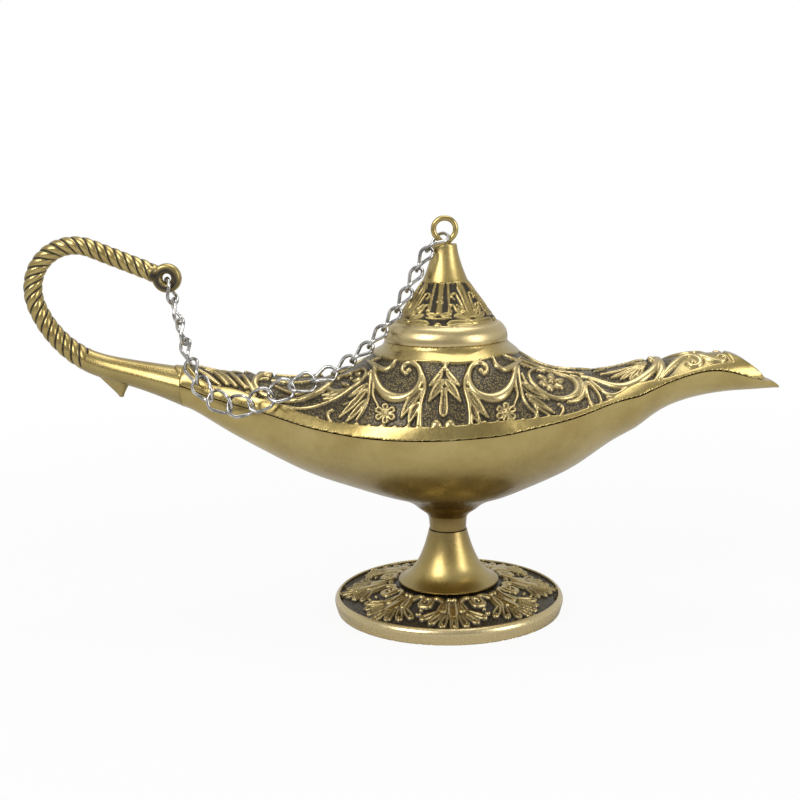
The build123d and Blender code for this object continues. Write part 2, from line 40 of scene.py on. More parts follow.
# Width of the picture in its own points, and of the camera's sensor in millimetres.
PICTURE = 800
SENSOR = 36.0
# The lamp lies between these distances from the camera, and a search for it takes these steps.
LAMP_DISTANCES = (0.33, 0.43)
SIGHT_STEPS = 60

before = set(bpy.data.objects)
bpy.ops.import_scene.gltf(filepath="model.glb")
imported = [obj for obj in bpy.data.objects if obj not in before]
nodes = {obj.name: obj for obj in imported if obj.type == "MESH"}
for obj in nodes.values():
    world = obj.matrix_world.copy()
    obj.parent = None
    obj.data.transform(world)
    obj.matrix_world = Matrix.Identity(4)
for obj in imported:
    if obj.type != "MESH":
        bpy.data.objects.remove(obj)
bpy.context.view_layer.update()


# Settings


# Settings of one kind each, by name, description and default.


def length_prop(name, about, value):
    return FloatProperty(name=name, description=about, default=value, unit="LENGTH")


def power_prop(name, about, value):
    return FloatProperty(name=name, description=about, default=value, unit="POWER")


def angle_prop(name, about, degrees):
    value = math.radians(degrees)
    return FloatProperty(name=name, description=about, default=value, subtype="ANGLE")


def colour_prop(name, about, value):
    return FloatVectorProperty(
        name=name, description=about, size=3, default=value, subtype="COLOR",
    )


class ViewSettings(PropertyGroup):
    """Where the lamp is looked at from."""

    place: FloatVectorProperty(
        name="Place", description="Where the camera stands", size=3,
        default=(0.006068, -0.377969, 0.132045), subtype="TRANSLATION", unit="LENGTH",
    )
    yaw: angle_prop("Yaw", "How far the camera is turned to the left", 3.0)
    pitch: angle_prop("Pitch", "How far the camera looks down", 10.26)
    roll: angle_prop("Roll", "How far the camera leans to the right", 1.02)
    lens: FloatProperty(
        name="Lens", description="Focal length in millimetres", default=58.5, min=10,
    )


class ReliefSettings(PropertyGroup):
    """The cast ornament of the deck, the lid and the base."""

    deck_depth: length_prop("Deck depth", "How far the deck's ground lies under its border", 0.00095)
    lid_depth: length_prop("Lid depth", "How far the lid's ground lies under its bead", 0.0006)
    base_depth: length_prop(
        "Base depth", "How far the base's ground lies under its ornament", 0.0009,
    )
    proud: length_prop("Proud", "How far the highest ribs stand above the plain casting", 0.00012)
    boldness: FloatProperty(
        name="Boldness", description="How wide the ribs are, as a share of their drawn width",
        default=1.18,
    )
    collar_radius: length_prop("Collar radius", "Where the smooth collar under the lid ends", 0.0213)
    deck_grain: length_prop("Deck grain", "Size of the faces of the deck", 0.00029)
    fine_grain: length_prop("Fine grain", "Size of the faces of the lid and the base", 0.00028)


class RopeSettings(PropertyGroup):
    """The twisted rod of the handle."""

    spacing: length_prop("Spacing", "From one groove to the next along the rod", 0.00298)
    starts: IntProperty(
        name="Strands", description="How many strands are twisted together", default=4, min=1,
    )
    depth: length_prop("Depth", "How deep the grooves between the strands are", 0.00062)
    swell: length_prop("Swell", "How far the strands stand above the plain rod", 0.00014)
    grain: length_prop("Grain", "Size of the faces of the handle", 0.00022)


class FinishSettings(PropertyGroup):
    """Colours of the metals."""

    brass: colour_prop("Brass", "The polished brass", (0.385, 0.285, 0.096))
    worn: colour_prop(
        "Worn brass", "The paler brass where hands and cloths rub it", (0.49, 0.385, 0.15),
    )
    # Worn brass together with painted highlight, on the ornament's crests and on the rims.
    rubbed: colour_prop(
        "Worn brass and painted highlight", "The bright brass of the rims and of the ornament's crests", (0.68, 0.56, 0.31),
    )
    # Patina of the hollows. Its colour also paints shade at the rib feet and on the handle's ring and
    # horn.
    patina_and_shade_tone: colour_prop("Patina and painted shade", "The patina in the recesses, which also paints shade", (0.056, 0.047, 0.034))
    # Brown painted shade on the hull's underside and the pedestal's top, where the stem meets the body.
    painted_stem_shade: colour_prop(
        "Painted stem shade", "The brown painted shade where the stem meets the body", (0.19, 0.12, 0.036),
    )
    silver: colour_prop("Silver", "The plated chain", (0.62, 0.605, 0.575))
    steel: colour_prop("Steel", "The screw and washer under the base", (0.42, 0.42, 0.43))


class StageSettings(PropertyGroup):
    """Floor and lamps."""

    floor: colour_prop("Floor", "Colour of the floor", (0.64, 0.64, 0.64))
    room: FloatProperty(
        name="Room", description="How bright the room round the lamp is", default=0.68,
    )
    key: power_prop("Key lamp", "Power of the large lamp at the front left", 3.1)
    fill: power_prop("Fill lamp", "Power of the lamp at the right", 1.8)
    top: power_prop("Top lamp", "Power of the lamp above", 1.9)


class LampSettings(PropertyGroup):
    """All that a user would change."""

    view: PointerProperty(type=ViewSettings)
    relief: PointerProperty(type=ReliefSettings)
    rope: PointerProperty(type=RopeSettings)
    finish: PointerProperty(type=FinishSettings)
    stage: PointerProperty(type=StageSettings)


def settings():
    return bpy.context.scene.oil_lamp


# Camera


def view_axes():
    """The camera's right, its up and the way it looks."""
    view = settings().view
    turn = Matrix.Rotation(view.yaw, 3, "Z")
    ahead = turn @ Vector((0, math.cos(view.pitch), -math.sin(view.pitch)))
    rise = turn @ Vector((0, math.sin(view.pitch), math.cos(view.pitch)))
    level = turn @ Vector((1, 0, 0))
    up = rise * math.cos(view.roll) + level * math.sin(view.roll)
    right = level * math.cos(view.roll) - rise * math.sin(view.roll)
    return right, up, ahead


def sight_line(across, down):
    """The way the camera looks through a place in the picture."""
    right, up, ahead = view_axes()
    focal = settings().view.lens / SENSOR * PICTURE
    return ahead + right * ((across - PICTURE / 2) / focal) - up * ((down - PICTURE / 2) / focal)


def picture_places(points):
    """Where points in metres appear in the picture."""
    right, up, ahead = view_axes()
    focal = settings().view.lens / SENSOR * PICTURE
    away = np.asarray(points) - np.array(settings().view.place)
    depth = away @ np.array(ahead)
    across = PICTURE / 2 + focal * (away @ np.array(right)) / depth
    down = PICTURE / 2 - focal * (away @ np.array(up)) / depth
    return np.column_stack((across, down))


# Meshes


def mesh_points(mesh):
    flat = np.zeros(len(mesh.vertices) * 3)
    mesh.vertices.foreach_get("co", flat)
    return flat.reshape(-1, 3)


def mesh_normals(mesh):
    flat = np.zeros(len(mesh.vertices) * 3)
    mesh.vertex_normals.foreach_get("vector", flat)
    return flat.reshape(-1, 3)


def mesh_edges(mesh):
    flat = np.zeros(len(mesh.edges) * 2, int)
    mesh.edges.foreach_get("vertices", flat)
    return flat.reshape(-1, 2)


def move_points(mesh, points):
    mesh.vertices.foreach_set("co", np.asarray(points, np.float32).ravel())
    mesh.update()


def near_mean(values, edges):
    """The mean of each point's neighbours."""
    total = np.zeros_like(values)
    np.add.at(total, edges[:, 0], values[edges[:, 1]])
    np.add.at(total, edges[:, 1], values[edges[:, 0]])
    count = np.bincount(edges.ravel(), minlength=len(values))
    return total / np.maximum(count, 1)[:, None]


def joined(mesh, extra):
    """One mesh with the faces of two."""
    first = [tuple(v.co) for v in mesh.vertices]
    faces = [tuple(p.vertices) for p in mesh.polygons]
    faces += [tuple(len(first) + index for index in p.vertices) for p in extra.polygons]
    whole = bpy.data.meshes.new(mesh.name)
    whole.from_pydata(first + [tuple(v.co) for v in extra.vertices], [], faces)
    return whole


# Points nearer to each other than one part of this in a metre are one point.
SAME_PLACE = 1e7
# Points of a fine copy go onto a sharp edge within this share of the size of its faces.
EDGE_CATCH = 0.55


def crease_tree(mesh, bend=35.0, gap=0.00004):
    """Places along the edges of a mesh that bend by more degrees, to find the nearest."""
    at = [tuple(round(part * SAME_PLACE) for part in v.co) for v in mesh.vertices]
    beside = {}
    for polygon in mesh.polygons:
        ring = [at[index] for index in polygon.vertices]
        for a, b in zip(ring, ring[1:] + ring[:1]):
            if a != b:
                beside.setdefault((min(a, b), max(a, b)), []).append(polygon.normal.copy())
    places = []
    for (a, b), faces in beside.items():
        if len(faces) == 2 and faces[0].angle(faces[1], 0.0) > math.radians(bend):
            start, end = Vector(a) / SAME_PLACE, Vector(b) / SAME_PLACE
            count = max(1, int((end - start).length / gap))
            places += [start.lerp(end, step / count) for step in range(count + 1)]
    tree = KDTree(len(places))
    for number, place in enumerate(places):
        tree.insert(place, number)
    tree.balance()
    return tree


def plain_copy(node, name):
    """A copy of a frame node with a mesh of its own and no material."""
    piece = bpy.data.objects.new(name, node.data.copy())
    bpy.context.scene.collection.objects.link(piece)
    piece.data.materials.clear()
    return piece


def fine_copy(node, name, grain, extra=None):
    """A copy of a frame node in small even faces that lie on the node's own surface."""
    shape = joined(node.data, extra) if extra else node.data.copy()
    piece = bpy.data.objects.new(name, shape.copy())
    bpy.context.scene.collection.objects.link(piece)
    piece.data.materials.clear()
    remesh = piece.modifiers.new("Even faces", "REMESH")
    remesh.mode = "VOXEL"
    remesh.voxel_size = grain
    remesh.adaptivity = 0
    scene_state = bpy.context.evaluated_depsgraph_get()
    fine = bpy.data.meshes.new_from_object(piece.evaluated_get(scene_state))
    coarse = piece.data
    piece.modifiers.clear()
    piece.data = fine
    bpy.data.meshes.remove(coarse)
    fine.name = name
    tree = Skin.tree_of(shape)
    settled = [tree.find_nearest(v.co)[0] for v in fine.vertices]
    creases = crease_tree(shape)
    for number, place in enumerate(settled):
        edge, _, gap = creases.find(place)
        if edge is not None and gap < EDGE_CATCH * grain:
            settled[number] = edge
    bpy.data.meshes.remove(shape)
    move_points(fine, settled)
    even_out(fine)
    fine.polygons.foreach_set("use_smooth", np.ones(len(fine.polygons), bool))
    return piece


def even_out(mesh, rounds=8, crease=14.0, pull=0.6):
    """Smooths the facets of round surfaces, and leaves edges sharper than crease alone."""
    edges = mesh_edges(mesh)
    normals = mesh_normals(mesh)
    agree = np.einsum("ij,ij->i", normals[edges[:, 0]], normals[edges[:, 1]])
    sharp = np.zeros(len(normals), bool)
    bent = edges[agree < math.cos(math.radians(crease))]
    sharp[bent.ravel()] = True
    for step in range(2):
        sharp[edges[sharp[edges].any(axis=1)].ravel()] = True
    points = mesh_points(mesh)
    free = ~sharp[:, None]
    for step in range(rounds):
        points = np.where(free, points + pull * (near_mean(points, edges) - points), points)
    move_points(mesh, points)


def set_share(mesh, name, values):
    """Keeps one number for each point of a mesh, for the materials to read."""
    store = mesh.attributes.new(name, "FLOAT", "POINT")
    store.data.foreach_set("value", np.asarray(values, np.float32))


def eased(values):
    """A soft step from 0 to 1."""
    share = np.clip(values, 0, 1)
    return share * share * (3 - 2 * share)


# Ornament


def smooth_line(points, steps=8, closed=False):
    """A smooth line through a few points."""
    given = np.asarray(points, float)
    if closed:
        ends = np.vstack([given[-1:], given, given[:2]])
    else:
        ends = np.vstack([2 * given[0] - given[1], given, 2 * given[-1] - given[-2]])
    share = np.linspace(0, 1, steps, endpoint=False)[:, None]
    rows = []
    for a, b, c, d in zip(ends, ends[1:], ends[2:], ends[3:]):
        rows.append(
            0.5
            * (
                2 * b
                + (c - a) * share
                + (2 * a - 5 * b + 4 * c - d) * share**2
                + (3 * b - a - 3 * c + d) * share**3
            )
        )
    rows.append(given[:1] if closed else given[-1:])
    return np.vstack(rows)


def even_beads(points, gap=0.00012):
    """Points at even gaps along a line, and each one's share of the way."""
    points = np.asarray(points, float)
    runs = np.linalg.norm(np.diff(points, axis=0), axis=1)
    way = np.concatenate([[0], np.cumsum(runs)])
    count = max(2, int(way[-1] / gap) + 1)
    at = np.linspace(0, way[-1], count)
    beads = np.column_stack([np.interp(at, way, points[:, k]) for k in range(3)])
    return beads, at / max(way[-1], 1e-9)


class Skin:
    """The surface of a frame node, and the camera's sight lines onto it."""

    @staticmethod
    def tree_of(mesh):
        places = [v.co for v in mesh.vertices]
        return BVHTree.FromPolygons(places, [p.vertices[:] for p in mesh.polygons])

    def __init__(self, node):
        self.tree = self.tree_of(node.data)
        self.eye = Vector(settings().view.place)

    def seen(self, across, down):
        """The point of the surface at a place in the picture."""
        way = sight_line(across, down).normalized()
        place = self.tree.ray_cast(self.eye, way)[0]
        if place is not None:
            return place
        # A place just off the outline goes to the nearest point of the surface.
        reach = [self.eye + way * far for far in np.linspace(*LAMP_DISTANCES, SIGHT_STEPS)]
        return min((self.tree.find_nearest(p) for p in reach), key=lambda f: f[3])[0]


# Bare ground is what stands lower than this share of the full height.
GROUND = 0.05
# A face looks up, or away from the lamp's axis, when its normal goes that way by more.
FACES_UP = 0.3
FACES_OUT = 0.05


class Chasing:
    """Raised work on a surface: ribs, hollow leaves, lobes and balls.

    fill is how high the inside of a hollow leaf stands, as a share of its rim. Widths are
    half widths in millimetres, and places are across and down in the picture.
    """

    def __init__(self, skin, fill=0.26, bold=1.0):
        self.skin = skin
        self.fill = fill
        self.rows = []
        self.boldness = settings().relief.boldness * bold

    def lay(self, points, widths, lift):
        beads, share = even_beads(points)
        widths = np.atleast_1d(np.asarray(widths, float)) * self.boldness * MM
        spread = np.interp(share, np.linspace(0, 1, len(widths)), widths)
        self.rows.append((beads, spread, lift))

    def rib(self, places, widths, lift=1.0, closed=False):
        """A rounded rib through places in the picture."""
        line = smooth_line(places, closed=closed)
        self.lay([self.skin.seen(*place) for place in line], widths, lift)

    def ball(self, place, radius, lift=1.1):
        middle = np.array(self.skin.seen(*place))
        self.rows.append((middle[None, :], np.array([radius * MM]), lift))

    def lobe(self, start, end, width, lift=1.0):
        """A solid lobe that is full in its middle."""
        line = [self.skin.seen(*start), self.skin.seen(*end)]
        self.lay(line, (0.45 * width, 0.9 * width, width, 0.9 * width, 0.5 * width), lift)

    def leaf(self, base, tip, width, bend=0.0, rim=0.4, rounded=False, lift=0.9):
        """A hollow leaf drawn by its rim, pointed or with a rounded tip."""
        start, end = self.skin.seen(*base), self.skin.seen(*tip)
        normal = self.skin.tree.find_nearest((start + end) / 2)[1]
        along = end - start
        side = normal.cross(along).normalized()
        shares = np.linspace(0, 1, 14)
        if rounded:
            swell = (0.35 + 0.65 * shares) * np.sqrt(1 - shares**5)
        else:
            swell = np.sin(math.pi * shares**0.8)
        for way in (-1, 0, 1):
            line = []
            for share, out in zip(shares, swell):
                aside = bend * math.sin(math.pi * share) + way * width * out
                place = start + along * share + side * (aside * MM)
                line.append(self.skin.tree.find_nearest(place)[0])
            if way:
                self.lay(line, rim, lift)
            else:
                self.lay(line, 0.05 + width * swell, self.fill * lift)

    def fan(self, root, tips, width, start=0.3, rim=0.42):
        """Hollow petals that spread from a root."""
        for tip in tips:
            base = [r + start * (t - r) for r, t in zip(root, tip)]
            self.leaf(base, tip, width, rim=rim, rounded=True)
            self.ball([t - 0.09 * (t - r) for r, t in zip(root, tip)], 0.66, 1.15)

    def flower(self, middle, reach, petals=6, turn=0.0, width=0.95):
        self.ball(middle, 0.85)
        for number in range(petals):
            angle = turn + 2 * math.pi * number / petals
            way = (math.cos(angle) * reach, math.sin(angle) * reach * 0.92)
            base = (middle[0] + 0.36 * way[0], middle[1] + 0.36 * way[1])
            tip = (middle[0] + way[0], middle[1] + way[1])
            self.leaf(base, tip, width, rim=0.36, rounded=True)

    def heights(self, points, margin=0.7 * MM):
        """Each point's height as a share of the full height, and how near it is to a foot."""
        height, foot = np.zeros(len(points)), np.zeros(len(points))
        for beads, widths, lift in self.rows:
            reach = widths.max() + margin
            low, high = beads.min(axis=0) - reach, beads.max(axis=0) + reach
            near = np.flatnonzero(np.all((points > low) & (points < high), axis=1))
            for part in np.array_split(near, max(1, len(near) * len(beads) // 2000000)):
                if not len(part):
                    continue
                gaps = np.linalg.norm(points[part][:, None, :] - beads[None], axis=2)
                share = (gaps / widths).min(axis=1)
                rise = lift * np.clip(1 - share**2, 0, 1) ** 0.6
                height[part] = np.maximum(height[part], rise)
                beside = 1 - (gaps - widths).min(axis=1) / margin
                foot[part] = np.maximum(foot[part], np.clip(beside, 0, 1))
        return height, foot * (height <= GROUND)

    def heights_around(self, points, middle, angles):
        """The heights of work that repeats around the lamp's axis, met at each set of angles."""
        radius = np.hypot(points[:, 0], points[:, 1])
        height, foot = np.zeros(len(points)), np.zeros(len(points))
        for angle in angles:
            turned = angle + middle
            spread = (radius * np.cos(turned), radius * np.sin(turned), points[:, 2])
            one, near = self.heights(np.column_stack(spread))
            height, foot = np.maximum(height, one), np.maximum(foot, near)
        return height, foot * (height <= GROUND)


def folded_angles(points, middle, part):
    """The angle of points around the lamp's axis, folded at the middle of each part."""
    angle = np.arctan2(points[:, 1], points[:, 0]) - middle
    return np.abs((angle + part / 2) % part - part / 2)


def inside(places, outline):
    """How far places in the picture lie inside a closed outline, in picture points."""
    outline = np.asarray(outline, float)
    nearest = np.full(len(places), 1e9)
    within = np.zeros(len(places), bool)
    for a, b in zip(outline, np.roll(outline, -1, axis=0)):
        run = b - a
        share = np.clip(((places - a) @ run) / max(run @ run, 1e-12), 0, 1)
        nearest = np.minimum(nearest, np.linalg.norm(places - a - share[:, None] * run, axis=1))
        crosses = (a[1] > places[:, 1]) != (b[1] > places[:, 1])
        slope = (places[:, 1] - a[1]) / ((b[1] - a[1]) or 1e-12)
        within ^= crosses & (places[:, 0] < a[0] + slope * run[0])
    return np.where(within, nearest, -nearest)


# The open ground's patina is this dark, beside a darkness of 1 at the foot of a rib, where
# patina and painted shade lie together, and its pebbles fade at a rib.
OPEN_DARK = 0.55
PEBBLE_FADE = 0.8


def carve(piece, field, height, foot, depth, dark=1.0, stipple=1.0):
    """Sinks the ground of a field, leaves its ornament standing and says where patina and painted shade
    lie.
    """
    mesh = piece.data
    points, normals = mesh_points(mesh), mesh_normals(mesh)
    proud = settings().relief.proud
    move = field * ((depth + proud * np.minimum(height, 1)) * height - depth)
    move_points(mesh, points + normals * move[:, None])
    bare = 1 - np.clip(height, 0, 1)
    # Patina on the open ground, with painted shade added beside the feet of the ribs.
    set_share(mesh, "recess", field * bare * (OPEN_DARK + (1 - OPEN_DARK) * foot) * dark)
    set_share(mesh, "stipple", field * bare * dark * stipple * (1 - PEBBLE_FADE * foot))


# Border of the deck's ornament in the picture, from the tail round under it to the mouth.
DECK_OUTLINE = [
    (188, 300), (189, 366), (197, 377), (207, 384), (218, 386.5), (228, 387.5), (240, 390.5),
    (252, 396), (264, 400), (277, 404.2), (294, 410.6), (312, 416), (328, 421.5), (344, 423.5),
    (361, 425), (383, 426.7), (410, 427.6), (444, 427.4), (468, 425), (490, 422.6), (507, 421),
    (523, 419.5), (537, 418), (551, 415.6), (565, 414.8), (579, 411), (590, 406.8), (601, 402.8),
    (612, 399), (623, 391), (638, 384), (650, 380.5), (659, 380), (680, 374), (700, 367.2),
    (715, 364), (734, 362), (731, 356), (726, 350.5), (726, 300),
]
DECK_MIDDLE = 444.6
# From here to the mouth the ground between the scrolls is worn bright.
SPOUT_START = 660


def chase_border(work):
    """The scalloped edge where the ornament meets the plain band."""
    lower = [place for place in DECK_OUTLINE if place[1] > 385]
    across = [place[0] for place in lower]
    down = [place[1] for place in lower]
    for number in range(19):
        place = 316 + 13 * number
        if abs(place - DECK_MIDDLE) > 22:
            work.ball((place, np.interp(place, across, down)), 0.8 + 0.3 * (number % 2), 1.0)
    for place in (DECK_MIDDLE - 8.6, DECK_MIDDLE + 5.4):
        work.ball((place, 425), 1.75, 1.0)


def chase_middle(work, side):
    """One side of the ornament under the lid."""

    def at(*places):
        return [(DECK_MIDDLE + side * (across - DECK_MIDDLE), down) for across, down in places]

    work.rib(at((446, 367.5), (451, 373.5), (456, 379.5), (459.5, 384.5)), (0.5, 0.42, 0.4))
    work.leaf(*at((446.8, 372), (459.5, 385)), 0.62)
    work.leaf(*at((446.2, 379), (460.5, 400.5)), 0.95)
    work.rib(at((446, 380), (452, 388), (456, 395)), (0.3, 0.25), 0.7)
    work.rib(
        at(
            (484, 373), (487.4, 369.6), (486, 364.6), (481, 361.6), (475.5, 362.4),
            (470.8, 366.5), (468.8, 373), (469.6, 380.5), (473.5, 388), (480, 393.4),
            (488, 396.4), (496, 396.6), (503.5, 393.8), (509.5, 388.2), (513, 381),
            (514.8, 373), (516, 366.5),
        ),
        (
            0.55, 0.7, 0.75, 0.8, 0.8, 0.85, 0.85, 0.95, 1.1, 1.35, 1.5, 1.35,
            1.1, 0.9, 0.7, 0.5, 0.4,
        ),
        1.1,
    )
    work.ball(*at((481, 369.3)), 1.0, 1.15)
    work.rib(
        at((467.5, 371), (464.8, 380), (465.5, 390), (468.5, 401), (470, 412), (471, 425)),
        (0.4, 0.55, 0.6, 0.6, 0.65, 0.9),
    )
    work.leaf(*at((467.5, 388), (488.5, 417)), 1.05, bend=-0.4)
    work.rib(at((468, 391), (476, 402), (483, 411)), (0.3, 0.25), 0.65)
    work.leaf(*at((470.5, 402), (481, 423.5)), 0.85, bend=-0.3)
    work.rib(at(
        (493.6, 356.5), (495.6, 361.5), (499.5, 366), (505, 368), (511, 366.4), (517, 362.6),
        (522, 359.5),
    ), (0.45, 0.75, 0.95, 1.0, 0.85, 0.6, 0.4))
    work.lobe(*at((504.5, 354.5), (519.5, 360.2)), 0.6)


def chase_right(work):
    """The ornament of the deck towards the spout."""
    work.flower((506.8, 412), 10.2, turn=math.radians(30))
    work.rib(
        [(517, 365), (516.2, 374), (516.7, 384.5), (518.2, 394.4), (514.6, 404.6)],
        (0.6, 0.42, 0.42, 0.42, 0.36),
    )
    work.rib([
        (519.2, 366), (520, 376.7), (521.7, 387.8), (525, 398.9), (530, 406.7), (535.6, 412.2),
        (539.5, 418),
    ], (0.6, 0.45, 0.45, 0.5, 0.5, 0.45, 0.4))
    work.rib([(522.3, 373), (526, 380), (532.8, 388.6)], (0.4, 0.36, 0.3))
    work.leaf((521.5, 381), (549, 398.4), 0.85, bend=0.5)
    work.rib([(522, 385), (531, 393), (545, 398)], (0.3, 0.25), 0.7)
    work.leaf((527, 393.5), (554.5, 412), 0.75, bend=0.2)
    work.rib([(530, 399), (540, 408), (550, 414.5)], (0.36, 0.42, 0.36))
    work.rib([(534.4, 402.5), (537.3, 409), (538.5, 416)], (0.3, 0.4, 0.4))
    # Medallion with a blossom in a pointed oval.
    work.rib(
        [
            (530.6, 370.6), (537.8, 367.8), (547.8, 370.2), (558.9, 373), (567.8, 375.4),
            (574.8, 379), (578.4, 384.4), (577, 390.4), (570.6, 395.2), (561.6, 397.2),
            (551.8, 395.6), (542.2, 390.2), (534.4, 383), (530, 376.6),
        ],
        (0.5, 0.45, 0.45, 0.5, 0.6, 0.85, 1.1, 1.15, 1.0, 0.85, 0.75, 0.65, 0.55, 0.5, 0.5),
        1.05,
        closed=True,
    )
    heart = (551.2, 380.4)
    for petal in (
        (540.2, 374.8), (541.8, 382.2), (550.6, 388), (561.8, 386.2), (562, 378.6), (551.4, 373.4),
    ):
        near = [h + 0.5 * (p - h) for h, p in zip(heart, petal)]
        work.lobe(near, petal, 1.25)
    work.ball(heart, 1.0, 1.25)
    # Double rim and hook beside the medallion.
    work.rib([
        (570, 374.4), (577.5, 376.4), (582.8, 382), (584.6, 389), (581.8, 395.6), (575.8, 399.6),
        (568.6, 401),
    ], (0.4, 0.5, 0.6, 0.75, 0.85, 0.8, 0.5))
    work.ball((559.2, 403.8), 0.7)
    work.rib([(559.5, 403.5), (563, 406), (563.4, 410.6), (561, 414)], (0.5, 0.6, 0.6, 0.4))
    work.lobe((577.8, 372.4), (584, 373.6), 0.6)
    # Ribs along the ridge.
    work.rib(
        [(519, 358.6), (531, 362.6), (546, 367.4), (560, 370.8), (578, 372.2)],
        (0.5, 0.55, 0.5, 0.45, 0.4),
    )
    work.rib([(520, 362), (532, 366.6), (545, 371)], (0.4, 0.45, 0.3))
    work.rib([(521, 356.4), (536, 361.4), (552, 366.6), (566, 369.4)], (0.35, 0.35, 0.35), 0.8)
    # Open leaves under the long crescent.
    work.rib([(585.8, 380.6), (587.2, 390), (589.6, 399), (593.6, 405)], (0.5, 0.5, 0.5, 0.7))
    work.rib([(588, 381), (595.6, 388.6), (600.4, 396.4), (602, 403.4)], (0.5, 0.5, 0.5, 0.6))
    work.rib(
        [(588.6, 378.4), (597.8, 385.6), (605.2, 391.8), (612.4, 394.2), (620, 391.8), (626, 387.4)],
        (0.45, 0.5, 0.55, 0.65, 0.6, 0.6),
    )
    work.lobe((607, 396.6), (614, 397.4), 0.75)
    work.lobe((588.5, 406), (593, 408.5), 0.7)
    # The long crescent up to the knob, and the shell above it.
    work.rib([
        (581, 375.6), (592, 377.6), (603, 381.2), (614, 384.2), (625, 384.4), (635.6, 380.6),
        (645, 374.6), (652.4, 368), (656.6, 361.4), (657, 357.6),
    ], (0.4, 0.6, 0.85, 1.15, 1.4, 1.45, 1.35, 1.2, 1.0, 0.8), 1.1)
    work.ball((651.6, 359.2), 1.25, 1.3)
    for tip, width in (
        ((600.6, 373.2), 0.55),
        ((611.4, 376.6), 0.6),
        ((620.4, 378.4), 0.6),
        ((629.6, 378.6), 0.6),
        ((637.4, 375.8), 0.6),
    ):
        work.leaf((645.6, 362.6), tip, width, rim=0.36, rounded=True)
    work.rib([(645, 361), (626, 363), (606, 367.4), (594, 370.4)], (0.45, 0.4, 0.4, 0.3), 0.8)


def chase_spout(work):
    """The scrolls on the spout."""
    work.rib(
        [(658, 357.6), (661, 362.6), (661.6, 368.6), (659, 375), (655.6, 379.6)],
        (0.9, 1.1, 1.1, 1.0, 0.6),
    )
    work.ball((672.4, 353.8), 1.15, 1.3)
    work.rib([
        (660.4, 378.6), (664, 374), (669, 367.4), (674.6, 361.4), (680.4, 356.6), (687, 354.2),
        (693.6, 354.6), (698.8, 357), (700.6, 360.8), (698, 364), (692.6, 364.8), (687.8, 362.6),
    ], (0.5, 0.7, 0.9, 1.0, 1.05, 1.0, 0.95, 0.95, 0.95, 0.85, 0.75, 0.6), 1.1)
    work.ball((693.2, 360.2), 0.95, 1.1)
    work.rib([
        (697.5, 353.8), (704.5, 355.4), (711, 358), (717.6, 360), (723.4, 359.6), (726, 357),
        (723.6, 354.6), (718.4, 354.4),
    ], (0.55, 0.7, 0.75, 0.75, 0.7, 0.6, 0.5, 0.4))


def chase_left(work):
    """The ornament of the deck towards the handle."""
    work.flower((384.6, 413), 10.2, turn=math.radians(30))
    work.rib([(373, 370), (372.8, 384), (372.6, 395), (377.6, 405.6)], (0.6, 0.42, 0.42, 0.36))
    work.rib(
        [(370, 373), (369, 386), (367.8, 397), (363.4, 408), (356, 419.5)],
        (0.55, 0.45, 0.5, 0.5, 0.45),
    )
    work.leaf((367.5, 387), (338.5, 416.5), 0.95, bend=0.4)
    work.rib([(366, 391), (356, 403), (344, 413)], (0.3, 0.25), 0.7)
    work.leaf((365.5, 399), (345.5, 421), 0.8, bend=0.3)
    work.leaf((366.5, 383), (348, 396), 0.7, bend=0.3)
    work.rib([(361, 391), (353, 400), (343, 404)], (0.3, 0.36, 0.36))
    # Medallion behind the chain.
    work.rib([
        (365.4, 371), (361, 379.6), (353, 385.6), (342, 389.6), (332, 389.6), (326.6, 385),
        (331, 379.6), (342, 375), (354, 370.6), (361.6, 368),
    ], (0.5, 0.6, 0.7, 0.85, 0.9, 0.85, 0.6, 0.5, 0.5, 0.5), 1.0, closed=True)
    work.lobe((345, 375), (351, 372), 0.8)
    work.lobe((355, 374), (359.6, 372.4), 0.75)
    work.lobe((352.6, 380.6), (359, 377.6), 0.8)
    work.lobe((342, 382.6), (347.6, 384.4), 0.8)
    work.ball((350.6, 377.6), 0.75)
    work.rib([
        (276.5, 403.6), (287, 406), (298, 407.6), (310, 406.6), (322.2, 403.2), (334.4, 398),
        (344.6, 391.6), (354, 384.4), (363, 377), (370.6, 370),
    ], (0.4, 0.5, 0.55, 0.6, 0.6, 0.6, 0.65, 0.65, 0.6, 0.5))
    work.rib(
        [(279, 400.4), (289, 400), (300, 398), (311, 394), (321, 388.6), (328, 383.6), (331, 380)],
        (0.5, 0.8, 1.05, 1.2, 1.2, 1.0, 0.6),
        1.1,
    )
    work.leaf((343, 388.4), (322, 394.4), 0.55, bend=-0.2)
    work.leaf((342, 391.6), (323, 398.4), 0.6, bend=-0.2)
    work.ball((331.8, 409.8), 0.75)
    work.rib([(331, 409.6), (327.4, 412.4), (327.6, 417), (330, 420.6)], (0.5, 0.65, 0.65, 0.5))
    # Volute and lobes on the tail.
    work.rib(
        [(270, 374.6), (263.4, 373.4), (257, 376), (254.6, 381.4), (256.6, 386.6), (261.6, 389.6)],
        (0.6, 0.85, 1.0, 1.05, 0.9, 0.6),
        1.1,
    )
    work.lobe((261, 378), (268.6, 377.4), 0.75)
    work.lobe((259, 392), (273.6, 397.4), 0.95)
    work.lobe((260, 399), (275, 403), 0.8)
    work.rib([(272, 379.5), (288, 381.4), (304, 381), (318, 379)], (0.5, 0.45, 0.45, 0.4))
    work.rib([(275, 385), (288, 391), (299, 393.4), (310, 389.6)], (0.4, 0.5, 0.5, 0.36))
    for top, low, foot in (
        ((206, 367.6), (216.6, 372.6), (227, 383.4)),
        ((219, 370.4), (227.4, 376.4), (235.4, 385)),
        ((231, 371.4), (238, 378.6), (245.4, 387)),
        ((243, 373.4), (248.4, 382), (254.4, 394)),
    ):
        work.rib([top, low, foot], (0.55, 0.8, 0.7))
    work.rib([(197, 368), (207, 374), (219, 384)], (0.5, 0.8, 0.6))


